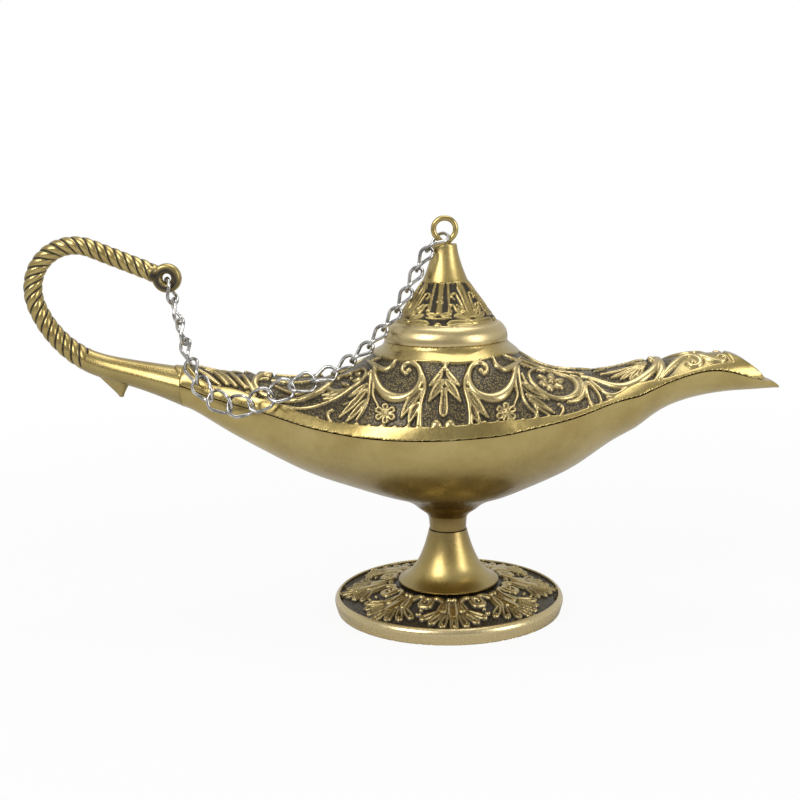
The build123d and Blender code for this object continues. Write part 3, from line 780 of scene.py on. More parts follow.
def chase_lid(work):
    """An eighth of the lid's ornament, from a group of staves to the middle of a fan."""
    work.rib([(441, 282), (440.4, 290), (439.8, 300), (439.4, 313)], (0.75, 0.7, 0.7, 0.7))
    work.rib([(448, 282.6), (448.6, 292), (449, 301), (449, 311)], (0.42, 0.42, 0.42, 0.42))
    work.rib([
        (454.6, 299), (452, 296.4), (453, 293.4), (456.4, 294), (459.4, 299), (462.6, 304.6),
        (463.8, 309.6), (460.8, 312.6), (457, 310.4), (454.6, 306), (451.4, 304.6), (449.8, 307.6),
        (451.6, 311),
    ], (0.36, 0.42, 0.42, 0.42, 0.42, 0.42, 0.46, 0.46, 0.42, 0.42, 0.42, 0.42, 0.36))
    work.leaf((472, 316), (460.6, 283.6), 1.0, bend=0.2, rounded=True)
    work.leaf((475, 315), (476.6, 291), 0.95, rounded=True)
    work.lobe((471, 321.6), (478, 321.8), 1.0, 1.2)
    work.leaf((471, 322), (447.6, 323.4), 0.85, rounded=True)
    work.leaf((470, 318.6), (455, 315), 0.6, rounded=True)
    work.leaf((441.6, 315.4), (451, 313.6), 0.5)
    work.lobe((438.4, 323.4), (438, 327.4), 0.9)
    work.rib([(437, 318.6), (444, 318.2), (451, 317.4)], (0.3, 0.4, 0.3))


def chase_base(work):
    """One fan of the base's ornament, with the scrolls on its right side."""
    work.ball((454.2, 599), 0.95, 1.1)
    work.rib([(454.4, 602.4), (454.5, 607), (454.5, 611.6), (454.4, 616)], (0.5, 0.8, 1.25, 1.0), 1.15)
    work.fan(
        (454.5, 606),
        [(454.6, 627.6), (467.6, 625.2), (478.6, 621.4), (486.6, 616.6)],
        1.15,
        start=0.42,
    )
    work.rib([
        (471, 597.4), (466, 596.8), (461.6, 599), (459.6, 603), (460.6, 608), (462.6, 609.6),
    ], (0.5, 0.75, 0.85, 0.85, 0.9, 0.95), 1.05)
    work.rib([
        (470, 598), (476.6, 596.6), (481.6, 599.4), (481, 603.8), (476.2, 604.6), (472.8, 602.4),
        (474.6, 600.2),
    ], (0.5, 0.75, 0.8, 0.8, 0.7, 0.6, 0.5))
    work.ball((484, 608.4), 0.6)
    work.ball((486.4, 612.4), 0.6)
    work.rib([(486.6, 594.4), (491.6, 597), (495.2, 601), (498, 604)], (0.6, 0.8, 0.9, 0.8))


# Materials


# Scales of the noises in the metals, in turns to the metre: clouds of tone, fine grain,
# brushed lines and the pebbles of the ornament's ground.
CLOUD_SCALE = 75.0
GRAIN_SCALE = 900.0
LINE_SCALE = 260.0
PEBBLE_SCALE = 2000.0
# The height of the bump that a relief of 1 makes, in metres, and the relief of the brushed
# lines and of the pebbles.
BUMP_HEIGHT = 0.00004
LINE_RELIEF = 0.09
PEBBLE_RELIEF = 3.4
# How much of the patina is worn off the top of a pebble.
PEBBLE_WORN = 0.74
# The lacquer on the brass, and how strongly a turned piece draws out its highlights.
LACQUER, LACQUER_ROUGHNESS = 0.3, 0.22
TURNED = 0.55
# The chain's plating: its clouds and dents, how dark it is where dull, and its bump.
PLATING_CLOUDS, PLATING_DENTS = 420.0, 1500.0
PLATING_DULL = 0.34
PLATING_BUMP = 0.00003
# The steel: its turning marks, how dark it is where tarnished, and its bump.
STEEL_MARKS = 300.0
STEEL_DARK = 0.6
STEEL_BUMP = 0.00005


def add_node(tree, kind, **inputs):
    made = tree.nodes.new(kind)
    for name, value in inputs.items():
        made.inputs[name.replace("_", " ")].default_value = value
    return made


def add_noise(tree, coords, scale, detail=4.0, roughness=0.55, stretch=None):
    """Noise over the object, stretched along its axes if asked."""
    if stretch:
        shift = add_node(tree, "ShaderNodeMapping", Scale=stretch)
        tree.links.new(coords, shift.inputs["Vector"])
        coords = shift.outputs["Vector"]
    noise = add_node(tree, "ShaderNodeTexNoise", Scale=scale, Detail=detail, Roughness=roughness)
    tree.links.new(coords, noise.inputs["Vector"])
    return noise.outputs["Fac"]


def add_math(tree, kind, first, second):
    made = tree.nodes.new("ShaderNodeMath")
    made.operation = kind
    for socket, value in zip(made.inputs, (first, second)):
        if isinstance(value, (int, float)):
            socket.default_value = value
        else:
            tree.links.new(value, socket)
    return made.outputs[0]


def add_range(tree, value, low, high, to_low, to_high):
    made = add_node(
        tree,
        "ShaderNodeMapRange",
        From_Min=low,
        From_Max=high,
        To_Min=to_low,
        To_Max=to_high,
    )
    tree.links.new(value, made.inputs["Value"])
    return made.outputs["Result"]


def add_mix(tree, share, first, second):
    made = tree.nodes.new("ShaderNodeMix")
    made.data_type = "RGBA"
    tree.links.new(share, made.inputs["Factor"])
    for socket, value in ((made.inputs["A"], first), (made.inputs["B"], second)):
        if isinstance(value, (tuple, list)):
            socket.default_value = value
        else:
            tree.links.new(value, socket)
    return made.outputs["Result"]


def mix_shaders(tree, share, first, second):
    made = tree.nodes.new("ShaderNodeMixShader")
    for socket, value in zip(made.inputs, (share, first, second)):
        tree.links.new(value, socket)
    return made.outputs["Shader"]


def add_share(tree, name):
    """A number that set_share kept for each point."""
    made = tree.nodes.new("ShaderNodeAttribute")
    made.attribute_name = name
    return made.outputs["Fac"]


def link_metal(tree, shader, tone, roughness, relief, strength, height):
    """Gives a metal its tone, its roughness and the bump of its relief."""
    tree.links.new(tone, shader.inputs["Base Color"])
    tree.links.new(roughness, shader.inputs["Roughness"])
    bump = add_node(tree, "ShaderNodeBump", Strength=strength, Distance=height)
    tree.links.new(relief, bump.inputs["Height"])
    tree.links.new(bump.outputs["Normal"], shader.inputs["Normal"])


def new_metal(name):
    """An empty metal: its node tree, its shader and the object's coordinates."""
    made = bpy.data.materials.new(name)
    made.use_nodes = True
    tree = made.node_tree
    shader = tree.nodes["Principled BSDF"]
    shader.inputs["Metallic"].default_value = 1.0
    coords = tree.nodes.new("ShaderNodeTexCoord").outputs["Object"]
    return made, tree, shader, coords


def colour(value):
    return (value[0], value[1], value[2], 1.0)


def aged_brass(
    name, worked=False, stretch=(1.0, 3.0, 9.0), roughness=0.27, painted_stem_shade=None, turned=False
):
    """Antique brass. Worked pieces read their patina with painted shade, and their wear with painted
    highlight.

    Given two heights in metres for the stem's shade, a brown painted shade covers the first and
    beyond it, and is gone from the second on. A turned piece keeps the fine marks of the lathe,
    which draw its highlights out.
    """
    finish = settings().finish
    made, tree, shader, coords = new_metal(name)
    cloud = add_noise(tree, coords, CLOUD_SCALE, 5.0, 0.6)
    grain = add_noise(tree, coords, GRAIN_SCALE, 3.0, 0.5)
    tone = add_mix(
        tree,
        add_range(tree, cloud, 0.35, 0.68, 0.0, 1.0),
        colour(finish.brass),
        colour(finish.worn),
    )
    spread = add_range(tree, grain, 0.3, 0.7, roughness - 0.03, roughness + 0.05)
    # Brown painted shade towards the stem, under the body.
    if painted_stem_shade:
        parts = tree.nodes.new("ShaderNodeSeparateXYZ")
        tree.links.new(coords, parts.inputs["Vector"])
        low = add_range(tree, parts.outputs["Z"], painted_stem_shade[0], painted_stem_shade[1], 0.7, 0.0)
        tone = add_mix(tree, low, tone, colour(finish.painted_stem_shade))
    lines = add_noise(tree, coords, LINE_SCALE, 4.0, 0.7, stretch)
    relief = add_math(tree, "MULTIPLY", lines, LINE_RELIEF)
    shader.inputs["Coat Weight"].default_value = LACQUER
    shader.inputs["Coat Roughness"].default_value = LACQUER_ROUGHNESS
    if turned:
        around = tree.nodes.new("ShaderNodeTangent")
        around.direction_type, around.axis = "RADIAL", "Z"
        shader.inputs["Anisotropic"].default_value = TURNED
        tree.links.new(around.outputs["Tangent"], shader.inputs["Tangent"])
    if worked:
        # Wear with painted highlight, on the crests and rims.
        tone = add_mix(tree, add_share(tree, "rubbed"), tone, colour(finish.rubbed))
        # Patina of the hollows, with painted shade at the rib feet and on the handle's ring and horn.
        deep = add_share(tree, "recess")
        pebbles = add_node(tree, "ShaderNodeTexVoronoi", Scale=PEBBLE_SCALE)
        tree.links.new(coords, pebbles.inputs["Vector"])
        pebble = add_range(tree, pebbles.outputs["Distance"], 0.1, 0.62, 1.0, 0.0)
        pebble = add_math(tree, "MULTIPLY", pebble, add_share(tree, "stipple"))
        worn = add_math(tree, "MULTIPLY", pebble, PEBBLE_WORN)
        dark = add_math(tree, "SUBTRACT", add_range(tree, deep, 0.05, 0.5, 0.0, 1.06), worn)
        cover = add_node(tree, "ShaderNodeClamp")
        tree.links.new(dark, cover.inputs["Value"])
        start = add_range(tree, deep, 0.0, 0.12, 0.0, 1.0)
        patina_and_shade_cover = add_math(tree, "MULTIPLY", cover.outputs["Result"], start)
        tone = add_mix(tree, patina_and_shade_cover, tone, colour(finish.patina_and_shade_tone))
        spread = add_math(tree, "ADD", spread, add_math(tree, "MULTIPLY", patina_and_shade_cover, 0.3))
        raised = add_math(tree, "MULTIPLY", pebble, PEBBLE_RELIEF)
        relief = add_math(tree, "ADD", relief, raised)
    link_metal(tree, shader, tone, spread, relief, 0.5, BUMP_HEIGHT)
    return made


def plated_silver(name):
    """The bright plating of the chain, a little dull where the links rub."""
    made, tree, shader, coords = new_metal(name)
    silver = settings().finish.silver
    cloud = add_noise(tree, coords, PLATING_CLOUDS, 4.0, 0.6)
    dull = colour([PLATING_DULL * part for part in silver])
    tone = add_mix(tree, add_range(tree, cloud, 0.42, 0.62, 0.0, 0.9), colour(silver), dull)
    spread = add_range(tree, cloud, 0.3, 0.7, 0.1, 0.26)
    dents = add_noise(tree, coords, PLATING_DENTS, 3.0)
    link_metal(tree, shader, tone, spread, dents, 0.3, PLATING_BUMP)
    return made


def turned_steel(name):
    """Screw and washer, with turning marks and a little tarnish."""
    made, tree, shader, coords = new_metal(name)
    steel = settings().finish.steel
    marks = add_noise(tree, coords, STEEL_MARKS, 4.0, 0.6, (1.0, 1.0, 12.0))
    dark = colour([STEEL_DARK * part for part in steel])
    tone = add_mix(tree, add_range(tree, marks, 0.35, 0.7, 0.0, 1.0), colour(steel), dark)
    spread = add_range(tree, marks, 0.3, 0.7, 0.25, 0.42)
    link_metal(tree, shader, tone, spread, marks, 0.4, STEEL_BUMP)
    return made


def finish_node(name, material):
    """Gives a frame node its finish in every slot it has."""
    piece = nodes[name]
    if not piece.material_slots:
        piece.data.materials.append(material)
    for slot in piece.material_slots:
        slot.material = material


# Pieces


# The deck's ornament lies above this height, on faces that look outwards.
DECK_LOW = 0.0575
# Its field fades over this many points of the picture at its border and at the spout.
BORDER_FADE = 1.6
SPOUT_FADE = 26
COLLAR_FADE = 0.5 * MM
# On the spout the relief is shallower by this share, and the patina thinner.
SPOUT_SHALLOW = 0.3
SPOUT_WORN = 0.72
# How much worn brass with painted highlight shows on the crests of the ribs.
DECK_CRESTS = 0.45


class LAMP_OT_deck(Operator):
    """Casts the ornament into the deck of the body"""

    bl_idname = "lamp.deck"
    bl_label = "Chased deck"

    def execute(self, context):
        relief = settings().relief
        node = nodes["upper_shell"]
        piece = fine_copy(node, "deck_casting", relief.deck_grain)
        work = Chasing(Skin(node))
        work.ball((445.4, 362.4), 1.05, 1.15)
        work.lobe((445.4, 363), (445, 369), 0.75)
        work.leaf((444.4, 387.6), (443.2, 416), 1.3, rounded=True)
        chase_border(work)
        chase_middle(work, 1)
        chase_middle(work, -1)
        chase_right(work)
        chase_left(work)
        chase_spout(work)
        points = mesh_points(piece.data)
        normals = mesh_normals(piece.data)
        side = np.where(points[:, 1] > 0, 1.0, -1.0)
        outer = (normals[:, 1] * side + normals[:, 2] > 0) & (points[:, 2] > DECK_LOW)
        front = points * np.array((1, 0, 1)) - np.abs(points) * np.array((0, 1, 0))
        places = picture_places(front)
        edge = eased(inside(places, DECK_OUTLINE) / BORDER_FADE)
        spout = eased((places[:, 0] - SPOUT_START) / SPOUT_FADE)
        away = np.hypot(points[:, 0], points[:, 1]) - relief.collar_radius
        field = edge * eased(away / COLLAR_FADE) * outer
        height, foot = work.heights(front)
        depth = relief.deck_depth * (1 - SPOUT_SHALLOW * spout)
        carve(piece, field, height, foot, depth, dark=1 - SPOUT_WORN * spout)
        # The crests of the ribs get wear with painted highlight.
        set_share(piece.data, "rubbed", DECK_CRESTS * field * np.clip(height, 0, 1) ** 2)
        piece.data.materials.append(aged_brass("deck_brass", worked=True))
        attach(piece, "lamp")
        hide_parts("upper_shell")
        return {"FINISHED"}


# The lid's ornament lies between these heights, outside this radius.
LID_FIELD = (0.0872, 0.0987)
LID_INSIDE = 0.0055
LID_FADE = 0.35 * MM
# Below this height the lid's bead is painted brighter, as wear with painted highlight, by this share.
LID_BEAD_TOP = 0.0876
LID_BEAD_WEAR_AND_HIGHLIGHT = 0.6
# How dark the lid's ground is, and how much of it is pebbled.
LID_DARK = 0.86
LID_STIPPLE = 0.25


class LAMP_OT_lid(Operator):
    """Casts the ornament into the lid"""

    bl_idname = "lamp.lid"
    bl_label = "Chased lid"

    def execute(self, context):
        relief = settings().relief
        node = nodes["lid"]
        piece = fine_copy(node, "lid_casting", relief.fine_grain)
        work = Chasing(Skin(node), fill=0.45)
        chase_lid(work)
        points = mesh_points(piece.data)
        normals = mesh_normals(piece.data)
        staves = np.array(work.skin.seen(440, 297))
        middle = math.atan2(staves[1], staves[0])
        quarter = math.pi / 2
        folded = folded_angles(points, middle, quarter)
        angles = (folded, -folded, quarter - folded)
        height, foot = work.heights_around(points, middle, angles)
        outwards = normals[:, 0] * points[:, 0] + normals[:, 1] * points[:, 1]
        outer = (outwards > 0) & (np.hypot(points[:, 0], points[:, 1]) > LID_INSIDE)
        low = eased((points[:, 2] - LID_FIELD[0]) / LID_FADE)
        high = eased((LID_FIELD[1] - points[:, 2]) / LID_FADE)
        carve(piece, low * high * outer, height, foot, relief.lid_depth, LID_DARK, LID_STIPPLE)
        # The lid's bead gets wear with painted highlight.
        bead = eased((LID_BEAD_TOP - points[:, 2]) / MM)
        set_share(piece.data, "rubbed", bead * LID_BEAD_WEAR_AND_HIGHLIGHT)
        piece.data.materials.append(aged_brass("lid_brass", worked=True, roughness=0.3, turned=True))
        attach(piece, "lid")
        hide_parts("lid")
        finish_node("lid_eye", aged_brass("eye_brass", roughness=0.24))
        return {"FINISHED"}


# The base's ornament lies inside this radius, above this height, on faces that look up.
BASE_FIELD_RADIUS = 0.0332
BASE_FIELD_LOW = 0.0035
BASE_FADE = 0.4 * MM
BASE_STIPPLE = 0.7
# Outside this radius the rim is painted brighter, as wear with painted highlight. These are the
# shares on the ribs and the rim.
BASE_RIM_RADIUS = 0.0326
BASE_CRESTS = 0.35
BASE_RIM_WEAR_AND_HIGHLIGHT = 0.9


class LAMP_OT_base(Operator):
    """Casts the ring of fans into the base, and finishes the pedestal"""

    bl_idname = "lamp.base"
    bl_label = "Chased base"

    def execute(self, context):
        relief = settings().relief
        node = nodes["base_plate"]
        piece = fine_copy(node, "base_casting", relief.fine_grain)
        work = Chasing(Skin(node), fill=0.1, bold=1.02)
        chase_base(work)
        points = mesh_points(piece.data)
        normals = mesh_normals(piece.data)
        tip = np.array(work.skin.seen(454.6, 627))
        middle = math.atan2(tip[1], tip[0])
        eighth = math.pi / 4
        folded = folded_angles(points, middle, eighth)
        angles = (folded, -folded, eighth - folded, eighth + folded)
        height, foot = work.heights_around(points, middle, angles)
        radius = np.hypot(points[:, 0], points[:, 1])
        outer = (normals[:, 2] > FACES_UP) & (points[:, 2] > BASE_FIELD_LOW)
        field = eased((BASE_FIELD_RADIUS - radius) / BASE_FADE) * outer
        carve(piece, field, height, foot, relief.base_depth, stipple=BASE_STIPPLE)
        # The crests and the rim get wear with painted highlight.
        crests = BASE_CRESTS * field * np.clip(height, 0, 1) ** 2
        rim = eased((radius - BASE_RIM_RADIUS) / MM) * BASE_RIM_WEAR_AND_HIGHLIGHT
        set_share(piece.data, "rubbed", np.maximum(crests, rim))
        piece.data.materials.append(aged_brass("base_brass", worked=True, stretch=(1.0, 1.0, 6.0)))
        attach(piece, "lamp")
        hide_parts("base_plate")
        # The pedestal's top gets brown painted shade, under the body.
        metal = aged_brass(
            "pedestal_brass",
            stretch=(9.0, 9.0, 1.0),
            roughness=0.3,
            painted_stem_shade=(0.029, 0.014),
            turned=True,
        )
        finish_node("pedestal", metal)
        return {"FINISHED"}


# The hollow between the stem and the hull is filled out: where, how far up and down, how
# much, and inside which radius, with the width over which that fades.
STEM_FILLET_HEIGHT = 0.0322
STEM_FILLET_REACH = 0.0046
STEM_FILLET_FILL = 0.0016
STEM_FILLET_RADIUS = 0.0145
STEM_FILLET_FADE = 0.0065


class LAMP_OT_hull(Operator):
    """Finishes the smooth hull under the deck and fills out the flare of its stem"""

    bl_idname = "lamp.hull"
    bl_label = "Smooth hull"

    def execute(self, context):
        piece = plain_copy(nodes["lower_shell"], "hull_casting")
        points, normals = mesh_points(piece.data), mesh_normals(piece.data)
        radius = np.hypot(points[:, 0], points[:, 1])
        outwards = np.einsum("ij,ij->i", normals[:, :2], points[:, :2]) / np.maximum(radius, 1e-6)
        outer = (outwards > FACES_OUT) * eased((STEM_FILLET_RADIUS - radius) / STEM_FILLET_FADE)
        level = np.abs(points[:, 2] - STEM_FILLET_HEIGHT) / STEM_FILLET_REACH
        fill = STEM_FILLET_FILL * eased(1 - level) * outer
        move_points(piece.data, points + normals * fill[:, None])
        # The hull's underside gets brown painted shade towards the stem.
        metal = aged_brass("hull_brass", stretch=(0.6, 3.0, 9.0), roughness=0.3, painted_stem_shade=(0.035, 0.05))
        piece.data.materials.append(metal)
        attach(piece, "lamp")
        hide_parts("lower_shell")
        return {"FINISHED"}


# The handle's rod from its ring: a straight run, the tight loop and the long way back.
ROPE_START = (-81.6, 100.5)
ROPE_HEADING = math.radians(158)
ROPE_RUNS = [(23.9, 0.0), (13.1 * math.radians(132), 13.1), (30.0 * math.radians(43), 30.0)]
# Along the rod in metres, the ring at its start and the horn at its end, where no rope is,
# and the lengths over which the rope fades in.
RING_LENGTH, RING_FADE = 0.0042, 1.2 * MM
HORN_LENGTH, HORN_FADE = 0.0004, 0.5 * MM
# How dark the painted shade on the ring's face and under the horn is, beside a groove of the rope.
RING_DARK = 0.55
HORN_DARK = 0.34
# What lies farther than this from the rod's middle isn't part of the rod.
ROD_REACH = 0.0052
# How far the ring swells outwards in millimetres, outside this radius in metres.
RING_SWELL = 0.4
RING_HOLE = 0.0028
# A higher power makes the strands flatter and the grooves between them narrower.
STRAND_POWER = 2.6


def rope_line(step=0.1):
    """Points along the rod's middle and the way it heads at each, in millimetres."""
    x, z = ROPE_START
    heading = ROPE_HEADING
    rows = []
    for length, radius in ROPE_RUNS:
        count = max(1, round(length / step))
        run = length / count
        for number in range(count):
            rows.append((x, z, heading))
            turn = run / radius if radius else 0.0
            x += run * math.cos(heading + turn / 2)
            z += run * math.sin(heading + turn / 2)
            heading += turn
    rows.append((x, z, heading))
    return np.array(rows)


# The barb under the horn in the picture: its root and its tip, each as two edge places, and
# its half thickness at both in millimetres.
BARB_ROOT = ((104, 374), (131, 380.5))
BARB_TIP = ((119.6, 396.4), (123.2, 396.8))
BARB_THICKNESS = (2.6, 0.7)


def middle_place(across, down):
    """Where a place in the picture lies on the lamp's middle plane."""
    eye = Vector(settings().view.place)
    way = sight_line(across, down)
    return eye - way * (eye.y / way.y)


def barb_shape(steps=10, sides=24):
    """The barb as a stack of ovals from root to tip, hollowed a little on its right."""
    root = [middle_place(*place) for place in BARB_ROOT]
    tip = [middle_place(*place) for place in BARB_TIP]
    points, faces = [], []
    for step in range(steps + 1):
        share = step / steps
        left = root[0].lerp(tip[0], share)
        right = root[1].lerp(tip[1], share**0.75)
        middle, half = (left + right) / 2, (right - left) / 2
        thick = BARB_THICKNESS[0] + (BARB_THICKNESS[1] - BARB_THICKNESS[0]) * share
        for side in range(sides):
            angle = 2 * math.pi * side / sides
            aside = Vector((0, math.sin(angle) * thick * MM, 0))
            points.append(middle + half * math.cos(angle) + aside)
    for step in range(steps):
        for side in range(sides):
            here, there = step * sides + side, step * sides + (side + 1) % sides
            faces.append((here, there, there + sides, here + sides))
    faces.append(tuple(range(sides))[::-1])
    faces.append(tuple(steps * sides + side for side in range(sides)))
    shape = bpy.data.meshes.new("barb")
    shape.from_pydata([tuple(point) for point in points], [], faces)
    return shape


class LAMP_OT_handle(Operator):
    """Twists the rod of the handle into a rope and fills out the barb under the horn"""

    bl_idname = "lamp.handle"
    bl_label = "Roped handle"

    def execute(self, context):
        rope = settings().rope
        piece = fine_copy(nodes["handle"], "handle_casting", rope.grain, barb_shape())
        mesh = piece.data
        points, normals = mesh_points(mesh), mesh_normals(mesh)
        line = rope_line()
        way = np.linspace(0, sum(run[0] for run in ROPE_RUNS), len(line)) * MM
        flat = points[:, [0, 2]]
        nearest = np.zeros(len(points), int)
        for part in np.array_split(np.arange(len(points)), 40):
            gaps = np.linalg.norm(flat[part][:, None, :] - line[None, :, :2] * MM, axis=2)
            nearest[part] = gaps.argmin(axis=1)
        middle, heading = line[nearest, :2] * MM, line[nearest, 2]
        out = np.column_stack((np.sin(heading), -np.cos(heading)))
        rise = np.einsum("ij,ij->i", flat - middle, out)
        angle = np.arctan2(-points[:, 1], rise)
        along = way[nearest] + np.einsum(
            "ij,ij->i", flat - middle, np.column_stack((np.cos(heading), np.sin(heading)))
        )
        phase = (along / rope.spacing + rope.starts * angle / (2 * math.pi)) % 1.0
        across = np.abs(2 * phase - 1)
        groove = 1 - np.sqrt(np.clip(1 - across**STRAND_POWER, 0, 1))
        near_ring = eased((along - RING_LENGTH) / RING_FADE)
        horn = eased((way[-1] - HORN_LENGTH - along) / HORN_FADE)
        reach = np.hypot(rise, points[:, 1])
        on_rod = (nearest < len(line) - 1) & (nearest > 0) & (reach < ROD_REACH)
        field = near_ring * horn * on_rod
        move = field * (rope.swell - (rope.depth + rope.swell) * groove)
        from_ring = np.linalg.norm(flat - np.array(ROPE_START) * MM, axis=1)
        move += (1 - near_ring) * eased((from_ring - RING_HOLE) / MM) * RING_SWELL * MM
        move_points(mesh, points + normals * move[:, None])
        # Painted shade: the ring is darker where it faces sideways and down, the horn darker
        # underneath.
        ring_shade = np.clip(0.85 - 0.8 * normals[:, 2], 0, 1) * np.abs(normals[:, 1]) ** 1.5
        ring_shade = RING_DARK * (1 - near_ring) * ring_shade
        horn_shade = (1 - horn) * np.clip(0.25 - 0.5 * normals[:, 2], 0, 0.5) * HORN_DARK
        # Patina in the rope's grooves, joined with the painted shade of the ring and the horn.
        dark = np.maximum(field * np.clip(groove * 1.6 - 0.2, 0, 1), ring_shade)
        set_share(mesh, "recess", np.maximum(dark, horn_shade))
        piece.data.materials.append(aged_brass("handle_brass", worked=True))
        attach(piece, "lamp")
        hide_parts("handle")
        return {"FINISHED"}


# The way the flat of the chain faces beside the lid, and how far the links from the lowest
# one up to the eye have turned towards it.
LID_LEAN = Vector((-0.8, -0.3, 0.5))
FIRST_LEANING = 9
LEAN_SHARES = (0.15, 0.35, 0.6, 0.85, 1.0, 1.0, 1.0, 1.0, 1.0, 1.0, 0.7)
# Those links also lie in towards the lid, by these shares of this move in millimetres.
LEAN_MOVES = (0.0, 0.05, 0.2, 0.5, 0.85, 1.15, 1.35, 1.35, 1.0, 0.65, 0.3)
LID_WARD = Vector((0.7, -1.25, -0.7))


def lean_link(piece, share, move, line):
    """Turns a link about the chain's line, until its flat faces towards LID_LEAN."""
    points = mesh_points(piece.data)
    middle = Vector(points.mean(axis=0))
    flat = Vector(np.linalg.svd(points - middle, full_matrices=False)[2][2])
    flat = flat - line * flat.dot(line)
    if flat.dot(view_axes()[2]) > 0:
        flat = -flat
    goal = LID_LEAN - line * LID_LEAN.dot(line)
    angle = math.copysign(flat.angle(goal), line.dot(flat.cross(goal))) * share
    spin = Matrix.Rotation(angle, 4, line)
    place = Matrix.Translation(middle + LID_WARD * move * MM)
    piece.data.transform(place @ spin @ Matrix.Translation(-middle))


class LAMP_OT_chain(Operator):
    """Plates the links of the chain and turns the upper ones towards the lid"""

    bl_idname = "lamp.chain"
    bl_label = "Plated chain"

    def execute(self, context):
        plating = plated_silver("chain_plating")
        links = sorted(name for name in nodes if name.startswith("chain_link_"))
        if len(links) <= FIRST_LEANING + len(LEAN_SHARES) - 1:
            raise RuntimeError("the frame has too few chain links")
        middles = [Vector(mesh_points(nodes[name].data).mean(axis=0)) for name in links]
        leaning = dict(enumerate(zip(LEAN_SHARES, LEAN_MOVES), FIRST_LEANING - 1))
        for number, name in enumerate(links):
            if name in (links[0], links[-1]):
                finish_node(name, plating)
                continue
            piece = plain_copy(nodes[name], name + "_wire")
            if number in leaning:
                line = (middles[number + 1] - middles[number - 1]).normalized()
                lean_link(piece, *leaning[number], line)
            piece.data.materials.append(plating)
            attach(piece, name)
            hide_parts(name)
        return {"FINISHED"}


class LAMP_OT_fasteners(Operator):
    """Finishes the screw and the washer under the base"""

    bl_idname = "lamp.fasteners"
    bl_label = "Screw and washer"

    def execute(self, context):
        steel = turned_steel("screw_steel")
        finish_node("base_screw", steel)
        finish_node("screw_washer", steel)
        return {"FINISHED"}


# Stage


# Each lamp's setting, its place, and its width and height. All look at one place.
LAMPS = (
    ("key", (-0.42, -0.5, 0.52), 0.4, 0.4),
    ("fill", (0.6, -0.35, 0.3), 0.28, 0.42),
    ("top", (0.05, 0.1, 0.75), 0.5, 0.42),
)
LIT_PLACE = Vector((0, 0, 0.06))
FLOOR_REACH = 4.0
# The floor pales into the backdrop between these distances, from the first share to white.
PALE_FROM, PALE_TO, PALE_SHARE = 0.14, 0.4, 0.91
# Behind the camera the room has this share of its brightness. It turns to full between these
# two, on a scale from -1 behind the camera to 1 at the backdrop.
ROOM_SHADE = 0.62
ROOM_TURN = (-0.9, 0.25)


def add_lamp(name, place, width, height, power):
    lamp = bpy.data.lights.new(name, "AREA")
    lamp.shape = "RECTANGLE"
    lamp.size, lamp.size_y = width, height
    lamp.energy = power
    holder = bpy.data.objects.new(name, lamp)
    holder.location = place
    holder.rotation_euler = (LIT_PLACE - Vector(place)).to_track_quat("-Z", "Y").to_euler()
    bpy.context.scene.collection.objects.link(holder)


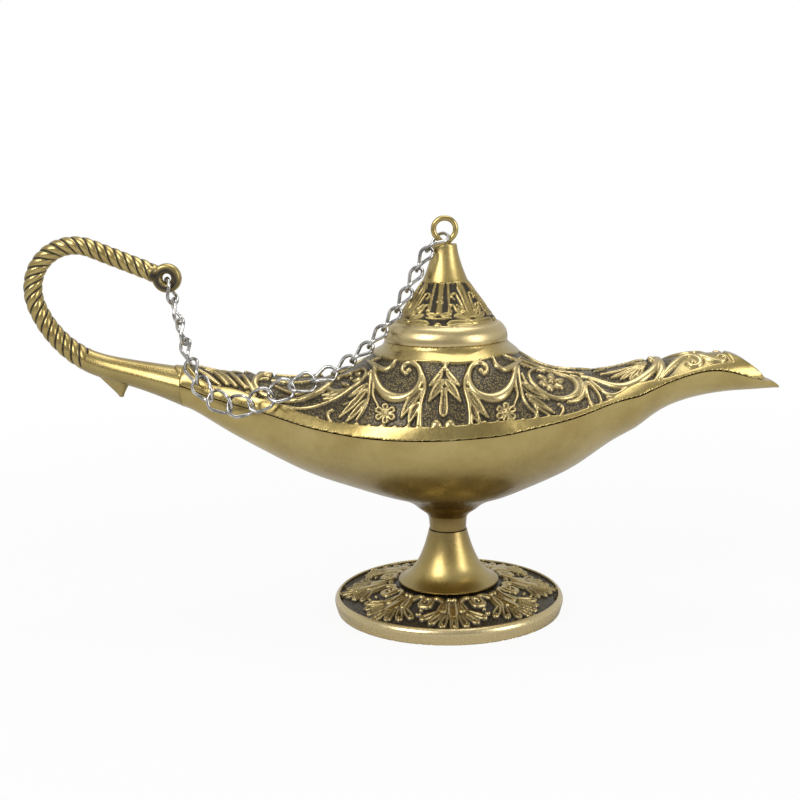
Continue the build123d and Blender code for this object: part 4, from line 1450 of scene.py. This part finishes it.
class LAMP_OT_stage(Operator):
    """Sets up the floor, the room, the lamps and the camera"""

    bl_idname = "lamp.stage"
    bl_label = "Stage"

    def execute(self, context):
        stage = settings().stage
        scene = bpy.context.scene
        self.add_floor(stage, scene)
        self.add_room(stage, scene)
        for name, place, width, height in LAMPS:
            add_lamp(name + "_lamp", place, width, height, getattr(stage, name))
        self.add_camera(scene)
        scene.view_settings.view_transform = "Standard"
        return {"FINISHED"}

    def add_floor(self, stage, scene):
        mesh = bpy.data.meshes.new("floor")
        sides = ((-1, -1), (1, -1), (1, 1), (-1, 1))
        corners = [(x * FLOOR_REACH, y * FLOOR_REACH, 0) for x, y in sides]
        mesh.from_pydata(corners, [], [(0, 1, 2, 3)])
        floor = bpy.data.objects.new("floor", mesh)
        scene.collection.objects.link(floor)
        paint = bpy.data.materials.new("floor_paint")
        paint.use_nodes = True
        tree = paint.node_tree
        shader = tree.nodes["Principled BSDF"]
        shader.inputs["Base Color"].default_value = colour(stage.floor)
        shader.inputs["Roughness"].default_value = 0.9
        glow = add_node(tree, "ShaderNodeEmission", Strength=1.0)
        far = tree.nodes.new("ShaderNodeVectorMath")
        far.operation = "LENGTH"
        tree.links.new(tree.nodes.new("ShaderNodeTexCoord").outputs["Object"], far.inputs[0])
        pale = add_range(tree, far.outputs["Value"], PALE_FROM, PALE_TO, PALE_SHARE, 1.0)
        seen = tree.nodes.new("ShaderNodeLightPath").outputs["Is Camera Ray"]
        share = add_math(tree, "MULTIPLY", seen, pale)
        mixed = mix_shaders(tree, share, shader.outputs["BSDF"], glow.outputs["Emission"])
        tree.links.new(mixed, tree.nodes["Material Output"].inputs["Surface"])
        mesh.materials.append(paint)

    def add_room(self, stage, scene):
        room = bpy.data.worlds.new("room")
        room.use_nodes = True
        tree = room.node_tree
        tree.nodes.clear()
        output = tree.nodes.new("ShaderNodeOutputWorld")
        plain = add_node(tree, "ShaderNodeBackground", Color=(1.0, 1.0, 1.0, 1.0))
        white = add_node(tree, "ShaderNodeBackground", Color=(1.0, 1.0, 1.0, 1.0), Strength=1.0)
        coords = tree.nodes.new("ShaderNodeTexCoord").outputs["Generated"]
        parts = tree.nodes.new("ShaderNodeSeparateXYZ")
        tree.links.new(coords, parts.inputs["Vector"])
        dim = ROOM_SHADE * stage.room
        level = add_range(tree, parts.outputs["Y"], *ROOM_TURN, dim, stage.room)
        tree.links.new(level, plain.inputs["Strength"])
        seen = tree.nodes.new("ShaderNodeLightPath").outputs["Is Camera Ray"]
        shades = (plain.outputs["Background"], white.outputs["Background"])
        tree.links.new(mix_shaders(tree, seen, *shades), output.inputs["Surface"])
        scene.world = room

    def add_camera(self, scene):
        view = settings().view
        lens = bpy.data.cameras.new("camera")
        lens.lens = view.lens
        lens.sensor_width = SENSOR
        lens.clip_start = 0.01
        camera = bpy.data.objects.new("camera", lens)
        right, up, ahead = view_axes()
        turned = Matrix((right, up, -ahead)).transposed().to_4x4()
        camera.matrix_world = Matrix.Translation(view.place) @ turned
        scene.collection.objects.link(camera)
        scene.camera = camera


# Panel


PIECES = (
    LAMP_OT_stage,
    LAMP_OT_hull,
    LAMP_OT_deck,
    LAMP_OT_lid,
    LAMP_OT_base,
    LAMP_OT_handle,
    LAMP_OT_chain,
    LAMP_OT_fasteners,
)


class LAMP_PT_pieces(Panel):
    """Lists the pieces of the lamp and their sizes and colours"""

    bl_idname = "LAMP_PT_pieces"
    bl_label = "Oil lamp"
    bl_space_type = "VIEW_3D"
    bl_region_type = "UI"
    bl_category = "Oil lamp"

    def draw(self, context):
        for piece in PIECES:
            self.layout.operator(piece.bl_idname, text=piece.bl_label)
        for name in ("relief", "rope", "finish", "stage", "view"):
            group = getattr(context.scene.oil_lamp, name)
            box = self.layout.box()
            box.label(text=name.title())
            for field in group.__annotations__:
                box.prop(group, field)


CLASSES = (
    ViewSettings,
    ReliefSettings,
    RopeSettings,
    FinishSettings,
    StageSettings,
    LampSettings,
    *PIECES,
    LAMP_PT_pieces,
)


def register():
    for made in CLASSES:
        bpy.utils.register_class(made)
    bpy.types.Scene.oil_lamp = PointerProperty(type=LampSettings)


def unregister():
    del bpy.types.Scene.oil_lamp
    for made in reversed(CLASSES):
        bpy.utils.unregister_class(made)


def main():
    register()
    bpy.ops.lamp.stage()
    bpy.ops.lamp.hull()
    bpy.ops.lamp.deck()
    bpy.ops.lamp.lid()
    bpy.ops.lamp.base()
    bpy.ops.lamp.handle()
    bpy.ops.lamp.chain()
    bpy.ops.lamp.fasteners()


if __name__ == "__main__":
    main()
